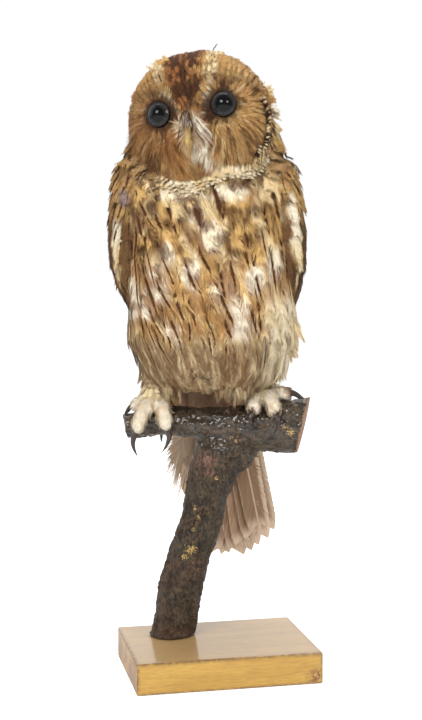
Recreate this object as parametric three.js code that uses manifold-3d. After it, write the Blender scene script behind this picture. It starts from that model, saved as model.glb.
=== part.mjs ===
// A mounted tawny owl on a forked branch and a wooden block, life size.
// Millimetres, +Z up. The origin is the middle of the block's underside, and the block's long
// side runs along X. The bird and the branch are modelled in a frame of their own, turned
// about Z against the block: there +X is the bird's left, -Y is where its breast faces.
import * as THREE from "three";
import { mergeVertices } from "three/addons/utils/BufferGeometryUtils.js";
import Module from "manifold-3d";

const wasm = await Module();
wasm.setup();

// ---------------------------------------------------------------- driving sizes
const RAD = Math.PI / 180;
const GAP = 0.3; // clear space between pieces that touch
const FACET = 0.15; // finest facet step kept

const BLOCK = { width: 140, depth: 99, height: 23.6, edge: 1.2 };
const MOUNT = { x: -2, y: 9, turn: -12 * RAD };

// Horizontal sections of the feathered body: middle, half width, reach forwards and backwards.
const BODY = [
  { z: 215, x: -2, y: 6, half: 20, front: 16, back: 22 },
  { z: 218, x: -2, y: 7, half: 38, front: 32, back: 40 },
  { z: 226, x: -2, y: 8, half: 50, front: 45, back: 50 },
  { z: 238, x: -2, y: 8, half: 57, front: 53, back: 56 },
  { z: 257, x: -0.5, y: 8, half: 66, front: 60, back: 60 },
  { z: 288, x: -1, y: 8, half: 64.5, front: 63, back: 63 },
  { z: 318, x: -3, y: 8, half: 62, front: 61, back: 64 },
  { z: 345, x: -4, y: 8, half: 62, front: 56, back: 62 },
  { z: 366, x: -5, y: 8, half: 65, front: 48, back: 60 },
  { z: 380, x: -6, y: 9, half: 66, front: 38, back: 58 },
  { z: 394, x: -6, y: 12, half: 64, front: 30, back: 55 },
  { z: 408, x: -5, y: 14, half: 61.5, front: 26, back: 50 },
  { z: 417, x: -5, y: 15, half: 57, front: 23, back: 46 },
  { z: 421, x: -5, y: 15, half: 42, front: 18, back: 32 },
];
const NECK_CUT = 352; // level that parts the neck from the trunk

const HEAD = {
  x: -8.5, y: 5, z: 415, turn: -8.7 * RAD, roll: -8.3 * RAD, nod: 2 * RAD,
  half: 57.5, front: 49, back: 55, up: 57, down: 56, square: 2.03, jaw: 0.6,
};
const EYE = { x: 23, y: -31.8, z: 10.5, radius: 10.6, splay: 12 * RAD, lid: 9.4, lidTube: 1.7 };
const DISC = { dish: 10.5, spread: 19, half: 54, up: 47, down: 50, rim: 2.2, rimWidth: 0.13 };

// The upper bill's ridge, in the head's frame: along the median plane from brow to hook.
const BILL = [
  { x: -2.5, y: -42, z: 2, half: 3.6, deep: 4 },
  { x: -2.8, y: -49, z: -1, half: 3.5, deep: 4.4 },
  { x: -3.1, y: -53.5, z: -8.5, half: 3.1, deep: 4.2 },
  { x: -3.4, y: -54.5, z: -16, half: 2.4, deep: 3.3 },
  { x: -3.7, y: -52.6, z: -22.5, half: 1.5, deep: 2 },
  { x: -4, y: -50.2, z: -26, half: 0.6, deep: 0.8 },
];
const LOWER_BILL = [
  { x: -2.8, y: -43, z: -10.5, half: 2.7, deep: 1.7 },
  { x: -3, y: -48, z: -13.5, half: 2.5, deep: 1.7 },
  { x: -3.3, y: -50.2, z: -17.5, half: 1.8, deep: 1.3 },
  { x: -3.6, y: -50.3, z: -20.5, half: 0.8, deep: 0.8 },
];

// A folded wing from the shoulder to where the covert feathers end: its spine, x out from the
// bird's middle line, which stands at mid, and its chord and thickness.
const WING = [
  { x: 60, mid: -5, y: -4, z: 388, chord: 20, thick: 8 },
  { x: 64, mid: -5, y: 2, z: 374, chord: 46, thick: 13 },
  { x: 66, mid: -4, y: 11, z: 348, chord: 64, thick: 17 },
  { x: 66, mid: -3.5, y: 22, z: 320, chord: 70, thick: 16 },
  { x: 56, mid: -1, y: 38, z: 294, chord: 66, thick: 14 },
  { x: 43, mid: 0, y: 52, z: 268, chord: 60, thick: 12 },
  { x: 34, mid: 0, y: 61, z: 238, chord: 52, thick: 10 },
  { x: 26, mid: 0, y: 66, z: 208, chord: 38, thick: 8 },
  { x: 23, mid: 0, y: 67, z: 196, chord: 18, thick: 4 },
];
const WING_BEND = 60; // radius that the wing's chord is wrapped to
const WING_AXIS_Y = 10; // depth of the upright line that the chord is wrapped round
const PRIMARY = {
  count: 4, length: 96, width: 17, thick: 1.5, step: 14, top: 216, spread: 2.2,
  mid: -1, x: 24, y: 69, lean: 7 * RAD, back: 2 * RAD, stack: 0.9,
};

// Tail feathers hang as a fan from the rump. The strays are splayed to the bird's right.
const TAIL = {
  count: 10, length: 167, width: 25, thick: 1.5, stack: 1.05, top: 236, y: 53, x: 3,
  fan: 2 * RAD, swing: 2.6 * RAD, slope: 4 * RAD, shorten: 1.6,
  strays: 3, strayLength: 106, strayTrim: 5, strayFan: 10.5 * RAD, strayStep: 2.6 * RAD,
  spacing: 1.6,
};
const COVERTS = [
  { z: 232, x: -1, y: 42, half: 42, front: 22, back: 18 },
  { z: 215, x: 0, y: 44, half: 39, front: 20, back: 17 },
  { z: 198, x: 1, y: 48, half: 33, front: 15, back: 14 },
  { z: 182, x: 3, y: 51, half: 26, front: 9, back: 9 },
  { z: 171, x: 4, y: 53, half: 16, front: 5, back: 6 },
  { z: 168, x: 4, y: 53, half: 8, front: 2.5, back: 3 },
];

// The perch runs across, thin at the bird's right, and the post comes up under it. flat is how
// deep the section is against its width.
const PERCH = [
  { x: -67, y: 0, z: 187.5, r: 10.2, flat: 1 },
  { x: -43, y: 1, z: 190.5, r: 11, flat: 1 },
  { x: -19, y: 1, z: 190.5, r: 12.4, flat: 1 },
  { x: 5, y: 0, z: 189, r: 14.8, flat: 1 },
  { x: 29, y: -1, z: 186.8, r: 18.4, flat: 0.96 },
  { x: 53, y: -2, z: 188, r: 20.8, flat: 0.95 },
  { x: 77, y: -2, z: 189.5, r: 21.3, flat: 0.94 },
];
const POST = [
  { x: -33.5, y: 5, z: 14, r: 17.6, flat: 1 },
  { x: -28, y: 4, z: 42, r: 17.2, flat: 1 },
  { x: -20, y: 3, z: 76, r: 17.2, flat: 1 },
  { x: -10.3, y: 1.5, z: 109, r: 17, flat: 1 },
  { x: -3.4, y: 0, z: 136, r: 17.3, flat: 1 },
  { x: 3.5, y: 0, z: 158, r: 21, flat: 0.84 },
  { x: 11.5, y: 0, z: 173, r: 25, flat: 0.62 },
  { x: 19, y: 0, z: 185, r: 21, flat: 0.5 },
];
const END_CUT = { x: 70, z: 188, lean: 12 * RAD, turn: -9 * RAD };

// Each foot: where its leg stands on the perch and leaves the belly, and its toes. A toe runs
// along the perch from `from` to `to`, both counted from the ankle, and its end is wrapped that
// many degrees round the perch from its top, forwards if positive. `hook` turns its claw along
// the perch.
const FOOT = { ankle: 226, tarsus: 10.8, toe: 5.5, claw: 2.3 };
const FEET = {
  right: { x: -45, hip: -38, toes: [
    { name: "middle", from: -3, to: -12, wrap: 100, claw: 20, hook: 0.05 },
    { name: "inner", from: 4, to: 11, wrap: 98, claw: 20, hook: -0.35 },
    { name: "outer", from: -3, to: -16, wrap: -18, claw: 12, hook: -0.2 },
    { name: "hind", from: 2, to: 5, wrap: -100, claw: 15, hook: 0 },
  ] },
  left: { x: 39, hip: 33, toes: [
    { name: "middle", from: 3, to: 8, wrap: 62, claw: 15, hook: 0 },
    { name: "inner", from: -5, to: -8.5, wrap: 54, claw: 13, hook: 0 },
    { name: "outer", from: 7, to: 21, wrap: 10, claw: 20, hook: 0.35 },
    { name: "hind", from: 4, to: 18, wrap: -34, claw: 11, hook: 0.3 },
  ] },
};

const COLOURS = {
  plumage: ["#b98a55", 0.9], face: ["#a8703c", 0.9], wing: ["#8a6239", 0.88], tail: ["#a98560", 0.88],
  toe: ["#e3d8bd", 0.92], claw: ["#3a302b", 0.35], bill: ["#c2a052", 0.4], eye: ["#0a0d10", 0.05],
  lid: ["#17120f", 0.6], bark: ["#3d342b", 0.55], wood: ["#c28f3e", 0.4],
};

// ---------------------------------------------------------------- solids
const SIDES = { body: 20, limb: 8, branch: 12 };

function solidOf(geometry) {
  const bare = new THREE.BufferGeometry().setAttribute("position", geometry.getAttribute("position"));
  if (geometry.index) bare.setIndex(geometry.index);
  const merged = mergeVertices(bare, 1e-4);
  const mesh = { numProp: 3, vertProperties: merged.attributes.position.array };
  const made = new wasm.Manifold(new wasm.Mesh({ ...mesh, triVerts: new Uint32Array(merged.index.array) }));
  if (made.volume() > 0) return made;
  const turned = Uint32Array.from(merged.index.array).reverse();
  return new wasm.Manifold(new wasm.Mesh({ ...mesh, triVerts: turned }));
}

function geometryOf(solid) {
  const mesh = solid.getMesh();
  const geometry = new THREE.BufferGeometry();
  geometry.setAttribute("position", new THREE.BufferAttribute(Float32Array.from(mesh.vertProperties), 3));
  geometry.setIndex(new THREE.BufferAttribute(Uint32Array.from(mesh.triVerts), 1));
  geometry.computeVertexNormals();
  return geometry;
}

// Keeps the largest body of a solid that a cut has left in pieces.
function largest(solid) {
  const bodies = solid.decompose();
  return bodies.reduce((best, one) => (one.volume() > best.volume() ? one : best));
}

// A closed solid from rings of equal length, with a pole in the middle of each end ring.
function skinRings(rings) {
  const count = rings[0].length;
  const points = rings.flat();
  const middle = (ring) => ring.reduce((sum, p) => sum.add(p), new THREE.Vector3()).divideScalar(count);
  points.push(middle(rings[0]), middle(rings[rings.length - 1]));
  const faces = [];
  for (let i = 0; i < count; i++) {
    const next = (i + 1) % count;
    faces.push(points.length - 2, next, i);
    for (let row = 0; row + 1 < rings.length; row++) {
      const here = row * count;
      faces.push(here + i, here + next, here + count + i);
      faces.push(here + next, here + count + next, here + count + i);
    }
    const last = (rings.length - 1) * count;
    faces.push(points.length - 1, last + i, last + next);
  }
  const geometry = new THREE.BufferGeometry().setFromPoints(points);
  geometry.setIndex(faces);
  return solidOf(geometry);
}

// Values of a list of stations at share t of its length, smooth through every station.
function along(stations, t) {
  const at = t * (stations.length - 1);
  const i = Math.min(Math.floor(at), stations.length - 2);
  const f = at - i;
  const pick = (k) => stations[Math.max(0, Math.min(stations.length - 1, k))];
  const [a, b, c, d] = [pick(i - 1), pick(i), pick(i + 1), pick(i + 2)];
  const value = (key) => {
    const [p, q, r, s] = [a[key], b[key], c[key], d[key]];
    return q + 0.5 * f * (r - p + f * (2 * p - 5 * q + 4 * r - s + f * (3 * (q - r) + s - p)));
  };
  return Object.fromEntries(Object.keys(b).map((key) => [key, value(key)]));
}

const power = (v, e) => Math.sign(v) * Math.abs(v) ** e;

// -1 at the first of a solid's rings, 1 at its last and 0 between, to grow it at its ends.
const past = (k, steps) => (k === 0 ? -1 : 0) + (k === steps ? 1 : 0);

// A solid of level sections, each a rounded oval with its own reach to front and back.
function levelLoft(stations, steps, sides, grow = 0) {
  const rise = grow * Math.sign(stations[stations.length - 1].z - stations[0].z);
  const rings = [];
  for (let k = 0; k <= steps; k++) {
    const s = along(stations, k / steps);
    const ring = [];
    for (let i = 0; i < sides; i++) {
      const a = (i / sides) * 2 * Math.PI;
      const reach = (Math.sin(a) < 0 ? s.front : s.back) + grow;
      const x = s.x + (s.half + grow) * power(Math.cos(a), 0.92);
      ring.push(new THREE.Vector3(x, s.y + reach * power(Math.sin(a), 0.92), s.z + past(k, steps) * rise));
    }
    rings.push(ring);
  }
  return skinRings(rings);
}

// A round solid along a bent spine; bump(t, angle) adds to the radius.
function tubeLoft(stations, steps, sides, grow = 0, bump = () => 0) {
  const at = (t) => {
    const s = along(stations, t);
    return new THREE.Vector3(s.x, s.y, s.z);
  };
  const rings = [];
  for (let k = 0; k <= steps; k++) {
    const t = k / steps;
    const tangent = at(Math.min(1, t + 0.01)).sub(at(Math.max(0, t - 0.01))).normalize();
    const side = new THREE.Vector3(0, 1, 0).cross(tangent);
    if (side.length() < 0.05) side.set(1, 0, 0);
    side.normalize();
    const other = tangent.clone().cross(side).normalize();
    const ring = [];
    for (let i = 0; i < sides; i++) {
      const a = (i / sides) * 2 * Math.PI;
      const s = along(stations, t);
      const r = s.r + grow + bump(t, a);
      const deep = s.r * (s.flat ?? 1) + grow + bump(t, a);
      const middle = at(t).addScaledVector(tangent, grow * past(k, steps));
      ring.push(middle.addScaledVector(side, r * Math.cos(a)).addScaledVector(other, deep * Math.sin(a)));
    }
    rings.push(ring);
  }
  return skinRings(rings);
}

const bodySolid = (grow = 0) => levelLoft(BODY, 14, SIDES.body, grow);
const covertSolid = (grow = 0) => levelLoft(COVERTS, 6, 18, grow);

// ---------------------------------------------------------------- the head
const headMatrix = new THREE.Matrix4().compose(
  new THREE.Vector3(HEAD.x, HEAD.y, HEAD.z),
  new THREE.Quaternion()
    .setFromAxisAngle(new THREE.Vector3(0, 1, 0), HEAD.roll)
    .multiply(new THREE.Quaternion().setFromAxisAngle(new THREE.Vector3(0, 0, 1), HEAD.turn))
    .multiply(new THREE.Quaternion().setFromAxisAngle(new THREE.Vector3(1, 0, 0), HEAD.nod)),
  new THREE.Vector3(1, 1, 1),
);

// How far the dished, rimmed face lies behind (+) or before (-) the plain head at x, z.
function faceRelief(x, z) {
  const eye = Math.hypot(Math.abs(x) - EYE.x, z - EYE.z);
  const round = Math.hypot(x / DISC.half, z / (z > 0 ? DISC.up : DISC.down));
  const dish = DISC.dish * Math.exp(-((eye / DISC.spread) ** 2));
  const rim = DISC.rim * Math.exp(-(((round - 1) / DISC.rimWidth) ** 2));
  const brow = 3.2 * Math.exp(-((x / 9) ** 2) - (((z - 8) / 26) ** 2));
  return dish - rim - brow;
}

function headSolid(grow = 0) {
  const around = 24;
  const rows = 15;
  const rings = [];
  for (let k = 1; k < rows; k++) {
    const tilt = (k / rows) * Math.PI;
    const ring = [];
    for (let i = 0; i < around; i++) {
      const a = (i / around) * 2 * Math.PI;
      const way = new THREE.Vector3().setFromSphericalCoords(1, tilt, a);
      way.set(way.z, way.x, way.y);
      const size = [HEAD.half, way.y < 0 ? HEAD.front : HEAD.back, way.z > 0 ? HEAD.up : HEAD.down];
      const square = HEAD.square + HEAD.jaw * Math.max(0, -way.z) ** 2;
      const sum = way.toArray().reduce((t, v, n) => t + (Math.abs(v) / (size[n] + grow)) ** square, 0);
      const p = way.multiplyScalar(sum ** (-1 / square));
      if (p.y < 0) p.y += faceRelief(p.x, p.z) * Math.min(1, -p.y / 18);
      ring.push(p.applyMatrix4(headMatrix));
    }
    rings.push(ring);
  }
  return skinRings(rings);
}

// Turns a shape made round +Z at the origin to look out of one eye socket.
function socketMatrix(side) {
  const look = new THREE.Vector3(side * Math.sin(EYE.splay), -Math.cos(EYE.splay), 0.06).normalize();
  const turn = new THREE.Quaternion().setFromUnitVectors(new THREE.Vector3(0, 0, 1), look);
  const at = new THREE.Vector3(side * EYE.x, EYE.y, EYE.z);
  return headMatrix.clone().multiply(new THREE.Matrix4().compose(at, turn, new THREE.Vector3(1, 1, 1)));
}

function eyeSolid(side, grow = 0) {
  const ball = new THREE.SphereGeometry(EYE.radius + grow, 12, 8);
  return solidOf(ball.rotateX(Math.PI / 2).applyMatrix4(socketMatrix(side)));
}

function lidSolid(side, grow = 0) {
  const ring = new THREE.TorusGeometry(EYE.lid, EYE.lidTube + grow, 5, 12);
  const forward = Math.sqrt(EYE.radius ** 2 - EYE.lid ** 2);
  return solidOf(ring.translate(0, 0, forward).applyMatrix4(socketMatrix(side)));
}

// One half of the bill: oval sections across the median plane, square to its ridge.
function billSolid(stations, grow = 0) {
  const steps = 6;
  const sides = 7;
  const rings = [];
  for (let k = 0; k <= steps; k++) {
    const s = along(stations, k / steps);
    const p = along(stations, Math.max(0, k / steps - 0.02));
    const q = along(stations, Math.min(1, k / steps + 0.02));
    const slope = Math.atan2(q.z - p.z, q.y - p.y);
    const ring = [];
    for (let i = 0; i < sides; i++) {
      const a = (i / sides) * 2 * Math.PI;
      const rise = (s.deep + grow) * Math.sin(a);
      const point = new THREE.Vector3(s.x + (s.half + grow) * Math.cos(a), s.y, s.z);
      const end = grow * past(k, steps);
      point.y += end * Math.cos(slope) - rise * Math.sin(slope);
      point.z += end * Math.sin(slope) + rise * Math.cos(slope);
      ring.push(point.applyMatrix4(headMatrix));
    }
    rings.push(ring);
  }
  return skinRings(rings);
}

// ---------------------------------------------------------------- wings and tail
// A flat pad wrapped round the bird's side. side is -1 for its right wing, 1 for its left.
function wingSolid(side, grow = 0) {
  const steps = 13;
  const sides = 12;
  const rings = [];
  const at = (t) => {
    const s = along(WING, t);
    return new THREE.Vector3(s.mid + side * s.x, s.y, s.z);
  };
  for (let k = 0; k <= steps; k++) {
    const t = k / steps;
    const s = along(WING, t);
    const middle = at(t);
    const tangent = at(Math.min(1, t + 0.02)).sub(at(Math.max(0, t - 0.02))).normalize();
    const outward = new THREE.Vector3(side * s.x, middle.y - WING_AXIS_Y, 0).normalize();
    const chordWay = tangent.clone().cross(outward).normalize();
    const ring = [];
    for (let i = 0; i < sides; i++) {
      const a = (i / sides) * 2 * Math.PI;
      const across = (s.chord / 2 + grow) * Math.cos(a);
      const lift = (s.thick / 2 + grow) * power(Math.sin(a), 0.8) - across ** 2 / (2 * WING_BEND);
      const end = middle.clone().addScaledVector(tangent, grow * past(k, steps));
      ring.push(end.addScaledVector(chordWay, across).addScaledVector(outward, lift));
    }
    rings.push(ring);
  }
  return skinRings(rings);
}

// A flat feather hanging from the origin down -Z, rounded at its end, facing +Y and -Y.
function vane(length, width, thick) {
  const shape = new THREE.Shape();
  const shoulder = length - 0.8 * width;
  shape.moveTo(-0.22 * width, 0);
  shape.lineTo(-0.5 * width, -0.35 * length);
  shape.lineTo(-0.5 * width, -shoulder);
  shape.quadraticCurveTo(-0.48 * width, -length + 0.16 * width, 0, -length);
  shape.quadraticCurveTo(0.48 * width, -length + 0.16 * width, 0.5 * width, -shoulder);
  shape.lineTo(0.5 * width, -0.35 * length);
  shape.lineTo(0.22 * width, 0);
  const plate = new THREE.ExtrudeGeometry(shape, { depth: thick, bevelEnabled: false, curveSegments: 2 });
  return plate.rotateX(Math.PI / 2).translate(0, thick / 2, 0);
}

const placed = (geometry, x, y, z, lean, slope) =>
  solidOf(geometry.rotateX(slope).rotateY(lean).translate(x, y, z));

function primariesSolid(side) {
  const P = PRIMARY;
  const feathers = [];
  for (let k = 0; k < P.count; k++) {
    const length = P.length - k * P.step;
    const x = P.mid + side * (P.x - k * P.spread);
    const lean = side * P.lean;
    feathers.push(placed(vane(length, P.width, P.thick), x, P.y + k * P.stack, P.top, lean, P.back));
  }
  return wasm.Manifold.union(feathers);
}

function tailSolid() {
  const T = TAIL;
  const feathers = [];
  for (let k = 0; k < T.count; k++) {
    const place = k - (T.count - 1) / 2;
    const outer = T.strays - 1 - k;
    let lean = place * T.fan + T.swing;
    let length = T.length - T.shorten * Math.abs(place) ** 1.5;
    if (outer >= 0) {
      lean = -T.strayFan - outer * T.strayStep;
      length = T.strayLength - outer * T.strayTrim;
    }
    const y = T.y - (Math.abs(place) - 3) * T.stack;
    const feather = vane(length, T.width, T.thick);
    feathers.push(placed(feather, T.x + place * T.spacing, y, T.top, -lean, T.slope));
  }
  return wasm.Manifold.union(feathers);
}

// ---------------------------------------------------------------- branch and feet
function branchSolid(grow = 0) {
  const knots = (t, a) => 0.5 * Math.sin(9 * t + 2 * a) + 0.45 * Math.sin(17 * t + 3 * a);
  const perch = tubeLoft(PERCH, 11, SIDES.branch, grow, knots);
  const post = tubeLoft(POST, 11, SIDES.branch, grow, knots);
  const joined = perch.add(post);
  const waste = new THREE.BoxGeometry(60, 120, 120).translate(30 + grow, 0, 0);
  waste.rotateY(END_CUT.lean).rotateZ(END_CUT.turn).translate(END_CUT.x, 0, END_CUT.z);
  const under = new THREE.BoxGeometry(120, 120, 60).translate(POST[0].x, 0, BLOCK.height + GAP - 30);
  return joined.subtract(solidOf(waste)).subtract(solidOf(under));
}

// Middle and radius of the perch at x.
function perchAt(x) {
  const t = (x - PERCH[0].x) / (PERCH[PERCH.length - 1].x - PERCH[0].x);
  return along(PERCH, Math.max(0, Math.min(1, t)));
}

// A toe's centre line, from the ankle over the perch's top and down round its side.
function toePath(foot, toe) {
  const steps = 6;
  const points = [];
  for (let k = 0; k <= steps; k++) {
    const t = k / steps;
    const x = foot.x + toe.from + (toe.to - toe.from) * t;
    const p = perchAt(x);
    const r = FOOT.toe * (1 + 0.1 * Math.sin(3 * Math.PI * t)) * (1 - 0.22 * t);
    const clear = p.r + FOOT.toe * (1 - 0.15 * t) + 0.5;
    const bow = toe.wrap * RAD * t;
    points.push({ x, y: p.y - clear * Math.sin(bow), z: p.z + clear * Math.cos(bow), r });
  }
  return points;
}

function toeSolid(foot, toe, grow = 0) {
  return tubeLoft(toePath(foot, toe), 6, 7, grow);
}

// A claw leaves the toe's end along its line and hooks down.
function clawSolid(foot, toe) {
  const path = toePath(foot, toe);
  const end = path[path.length - 1];
  const before = path[path.length - 2];
  const way = new THREE.Vector3(end.x - before.x, end.y - before.y, end.z - before.z).normalize();
  const down = new THREE.Vector3(toe.hook, toe.wrap > 0 ? 0.12 : -0.12, -1).normalize();
  const point = new THREE.Vector3(end.x, end.y, end.z);
  const stations = [];
  const steps = 6;
  for (let k = 0; k <= steps; k++) {
    const t = k / steps;
    stations.push({ x: point.x, y: point.y, z: point.z, r: FOOT.claw * (1 - t) ** 0.7 + 0.3 });
    way.lerp(down, 0.28).normalize();
    point.addScaledVector(way, toe.claw / steps);
  }
  return tubeLoft(stations, 5, 6);
}

function tarsusSolid(foot, grow = 0) {
  const p = perchAt(foot.x);
  const top = p.z + p.r;
  const reach = foot.x - foot.hip;
  const stations = [
    { x: foot.hip + 0.45 * reach, y: 3.5, z: FOOT.ankle + 2, r: FOOT.tarsus - 0.6 },
    { x: foot.hip + 0.65 * reach, y: 2.5, z: FOOT.ankle - 6, r: FOOT.tarsus },
    { x: foot.hip + 0.85 * reach, y: 1.5, z: top + 9, r: FOOT.tarsus },
    { x: foot.hip + 0.95 * reach, y: 0.5, z: top + 3, r: FOOT.tarsus - 0.8 },
    { x: foot.x, y: 0, z: top - 2, r: FOOT.tarsus - 4 },
  ];
  return tubeLoft(stations, 5, SIDES.limb, grow);
}

function thighSolid(foot, grow = 0) {
  const reach = foot.x - foot.hip;
  const stations = [
    { x: foot.hip, y: 10, z: 262, r: 15 },
    { x: foot.hip, y: 8, z: 246, r: 17.5 },
    { x: foot.hip + 0.15 * reach, y: 5.5, z: 231, r: 16.5 },
    { x: foot.hip + 0.4 * reach, y: 3.5, z: 219, r: 14 },
    { x: foot.hip + 0.55 * reach, y: 3, z: 213, r: 12 },
  ];
  return tubeLoft(stations, 6, SIDES.limb, grow);
}

// Everything that a leg and its foot fill, grown by the gap, to be cut from the body over them.
function legSpace(foot) {
  return wasm.Manifold.union([thighSolid(foot, GAP), tarsusSolid(foot, GAP), toeSpace(foot)]);
}

const toeSpace = (foot) => wasm.Manifold.union(foot.toes.map((toe) => toeSolid(foot, toe, GAP)));

// ---------------------------------------------------------------- the model
function mesh(name, solid, finish, group) {
  const [color, roughness] = COLOURS[finish];
  const material = new THREE.MeshStandardMaterial({ color, roughness, metalness: 0 });
  const made = new THREE.Mesh(geometryOf(largest(solid.simplify(FACET))), material);
  made.name = name;
  group.add(made);
}

function addHead(group) {
  let head = headSolid();
  for (const [side, name] of [[-1, "right"], [1, "left"]]) {
    head = head.subtract(lidSolid(side, GAP)).subtract(eyeSolid(side, GAP));
    mesh(`eye_${name}`, eyeSolid(side), "eye", group);
    mesh(`eyelid_${name}`, lidSolid(side).subtract(eyeSolid(side, GAP)), "lid", group);
  }
  head = head.subtract(billSolid(BILL, GAP)).subtract(billSolid(LOWER_BILL, GAP));
  mesh("bill_upper", billSolid(BILL), "bill", group);
  mesh("bill_lower", billSolid(LOWER_BILL).subtract(billSolid(BILL, GAP)), "bill", group);
  mesh("head", head, "face", group);
}

// Everything between two levels.
function slab(low, high) {
  const box = new THREE.BoxGeometry(400, 400, high - low);
  return solidOf(box.translate(0, 0, (low + high) / 2));
}

function addBody(group) {
  const wings = [wingSolid(-1, GAP), wingSolid(1, GAP)];
  const body = bodySolid().subtract(wings[0]).subtract(wings[1]);
  const legs = Object.values(FEET).map((foot) => legSpace(foot));
  const cut = GAP / 2;
  const trunk = body.intersect(slab(150, NECK_CUT - cut)).subtract(covertSolid(GAP));
  mesh("trunk", trunk.subtract(legs[0]).subtract(legs[1]), "plumage", group);
  const neck = body.intersect(slab(NECK_CUT + cut, 500)).subtract(headSolid(GAP));
  mesh("neck", neck, "plumage", group);
  const coverts = covertSolid().subtract(wings[0]).subtract(wings[1]);
  mesh("tail_coverts", coverts.subtract(legs[0]).subtract(legs[1]), "tail", group);
  mesh("tail", tailSolid().subtract(covertSolid(GAP)).subtract(bodySolid(GAP)), "tail", group);
}

function addWings(group) {
  for (const [side, name] of [[-1, "right"], [1, "left"]]) {
    mesh(`wing_${name}`, wingSolid(side).subtract(headSolid(GAP)), "wing", group);
    const taken = wingSolid(side, GAP).add(bodySolid(GAP)).add(covertSolid(GAP));
    mesh(`primaries_${name}`, primariesSolid(side).subtract(taken), "wing", group);
  }
}

function addFeet(group) {
  const branch = branchSolid(GAP);
  for (const [name, foot] of Object.entries(FEET)) {
    mesh(`thigh_${name}`, thighSolid(foot).subtract(toeSpace(foot)), "plumage", group);
    const tarsus = tarsusSolid(foot).subtract(thighSolid(foot, GAP)).subtract(branch);
    mesh(`tarsus_${name}`, tarsus, "toe", group);
    let taken = tarsusSolid(foot, GAP).add(branch);
    for (const toe of foot.toes) {
      mesh(`toe_${toe.name}_${name}`, toeSolid(foot, toe).subtract(taken), "toe", group);
      taken = taken.add(toeSolid(foot, toe, GAP));
    }
    for (const toe of foot.toes) {
      mesh(`claw_${toe.name}_${name}`, clawSolid(foot, toe).subtract(taken), "claw", group);
    }
  }
}

function addStand(root, group) {
  const half = [BLOCK.width / 2 - BLOCK.edge, BLOCK.depth / 2 - BLOCK.edge];
  const plan = new THREE.Shape([
    new THREE.Vector2(-half[0], -half[1]), new THREE.Vector2(half[0], -half[1]),
    new THREE.Vector2(half[0], half[1]), new THREE.Vector2(-half[0], half[1]),
  ]);
  const size = { depth: BLOCK.height - 2 * BLOCK.edge, bevelThickness: BLOCK.edge, bevelSize: BLOCK.edge };
  const block = new THREE.ExtrudeGeometry(plan, { ...size, bevelSegments: 2 });
  mesh("base_block", solidOf(block.translate(0, 0, BLOCK.edge)), "wood", root);
  mesh("branch", branchSolid(), "bark", group);
}

const owl = new THREE.Group();
const mounted = new THREE.Group();
mounted.position.set(MOUNT.x, MOUNT.y, 0);
mounted.rotation.z = MOUNT.turn;
owl.add(mounted);
addHead(mounted);
addBody(mounted);
addWings(mounted);
addFeet(mounted);
addStand(owl, mounted);

export default owl;
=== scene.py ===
"""A mounted tawny owl: one skin, its plumage, eyes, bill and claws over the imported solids."""
import math
from functools import partial

import bmesh
import bpy
import numpy as np
from bpy.props import FloatProperty, FloatVectorProperty, IntProperty, PointerProperty
from mathutils import Matrix, Vector
from mathutils.bvhtree import BVHTree


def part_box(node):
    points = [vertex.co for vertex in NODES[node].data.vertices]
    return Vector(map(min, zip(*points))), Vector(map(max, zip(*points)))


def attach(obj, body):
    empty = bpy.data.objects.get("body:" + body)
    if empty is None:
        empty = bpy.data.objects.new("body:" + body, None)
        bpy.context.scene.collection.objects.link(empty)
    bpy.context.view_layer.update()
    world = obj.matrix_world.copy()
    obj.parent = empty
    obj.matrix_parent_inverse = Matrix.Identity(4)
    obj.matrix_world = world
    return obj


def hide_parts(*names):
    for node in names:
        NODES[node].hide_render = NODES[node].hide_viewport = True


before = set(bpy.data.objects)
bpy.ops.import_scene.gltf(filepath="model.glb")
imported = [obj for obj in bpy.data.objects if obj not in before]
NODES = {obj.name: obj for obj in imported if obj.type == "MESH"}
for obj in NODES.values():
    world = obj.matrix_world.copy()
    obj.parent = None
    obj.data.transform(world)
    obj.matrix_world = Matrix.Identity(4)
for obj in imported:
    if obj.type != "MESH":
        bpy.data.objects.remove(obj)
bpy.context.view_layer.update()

bl_info = {
    "name": "Mounted tawny owl",
    "version": (1, 0, 0),
    "blender": (4, 5, 0),
    "location": "3D View > Sidebar > Owl",
    "description": "Builds the skin, plumage and mount of a tawny owl over its packed solids",
    "category": "Object",
}

# ---------------------------------------------------------------- frames
# The bird's own frame is in millimetres: +X its left, -Y its breast. It is turned on the block.
MM = 0.001
MOUNT_SHIFT = np.array([-2.0, 9.0, 0.0])
MOUNT_TURN = np.array(Matrix.Rotation(math.radians(-12), 3, "Z"))
HEAD_AT = np.array([-8.5, 5.0, 415.0])
HEAD_TURN = np.array(
    Matrix.Rotation(math.radians(-8.3), 3, "Y")
    @ Matrix.Rotation(math.radians(-8.7), 3, "Z")
    @ Matrix.Rotation(math.radians(2), 3, "X")
)
UP = np.array([0.0, 0.0, 1.0])


def to_world(points):
    """Bird millimetres to the row frame's metres."""
    return (points @ MOUNT_TURN.T + MOUNT_SHIFT) * MM


def to_bird(points):
    """The row frame's metres to bird millimetres."""
    return (points / MM - MOUNT_SHIFT) @ MOUNT_TURN


def to_head(points):
    return (points - HEAD_AT) @ HEAD_TURN


def from_head(points):
    return points @ HEAD_TURN.T + HEAD_AT


# ---------------------------------------------------------------- the bird's measures, in mm
EYE = {"x": 23.0, "y": -31.8, "z": 10.5, "radius": 10.6, "splay": math.radians(12), "lid": 9.4}
BILL_ROOT = np.array([-2.5, -42.0, 2.0])
CROWN_MID = -2.0  # x of the crown's middle line, in the head's frame

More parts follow.
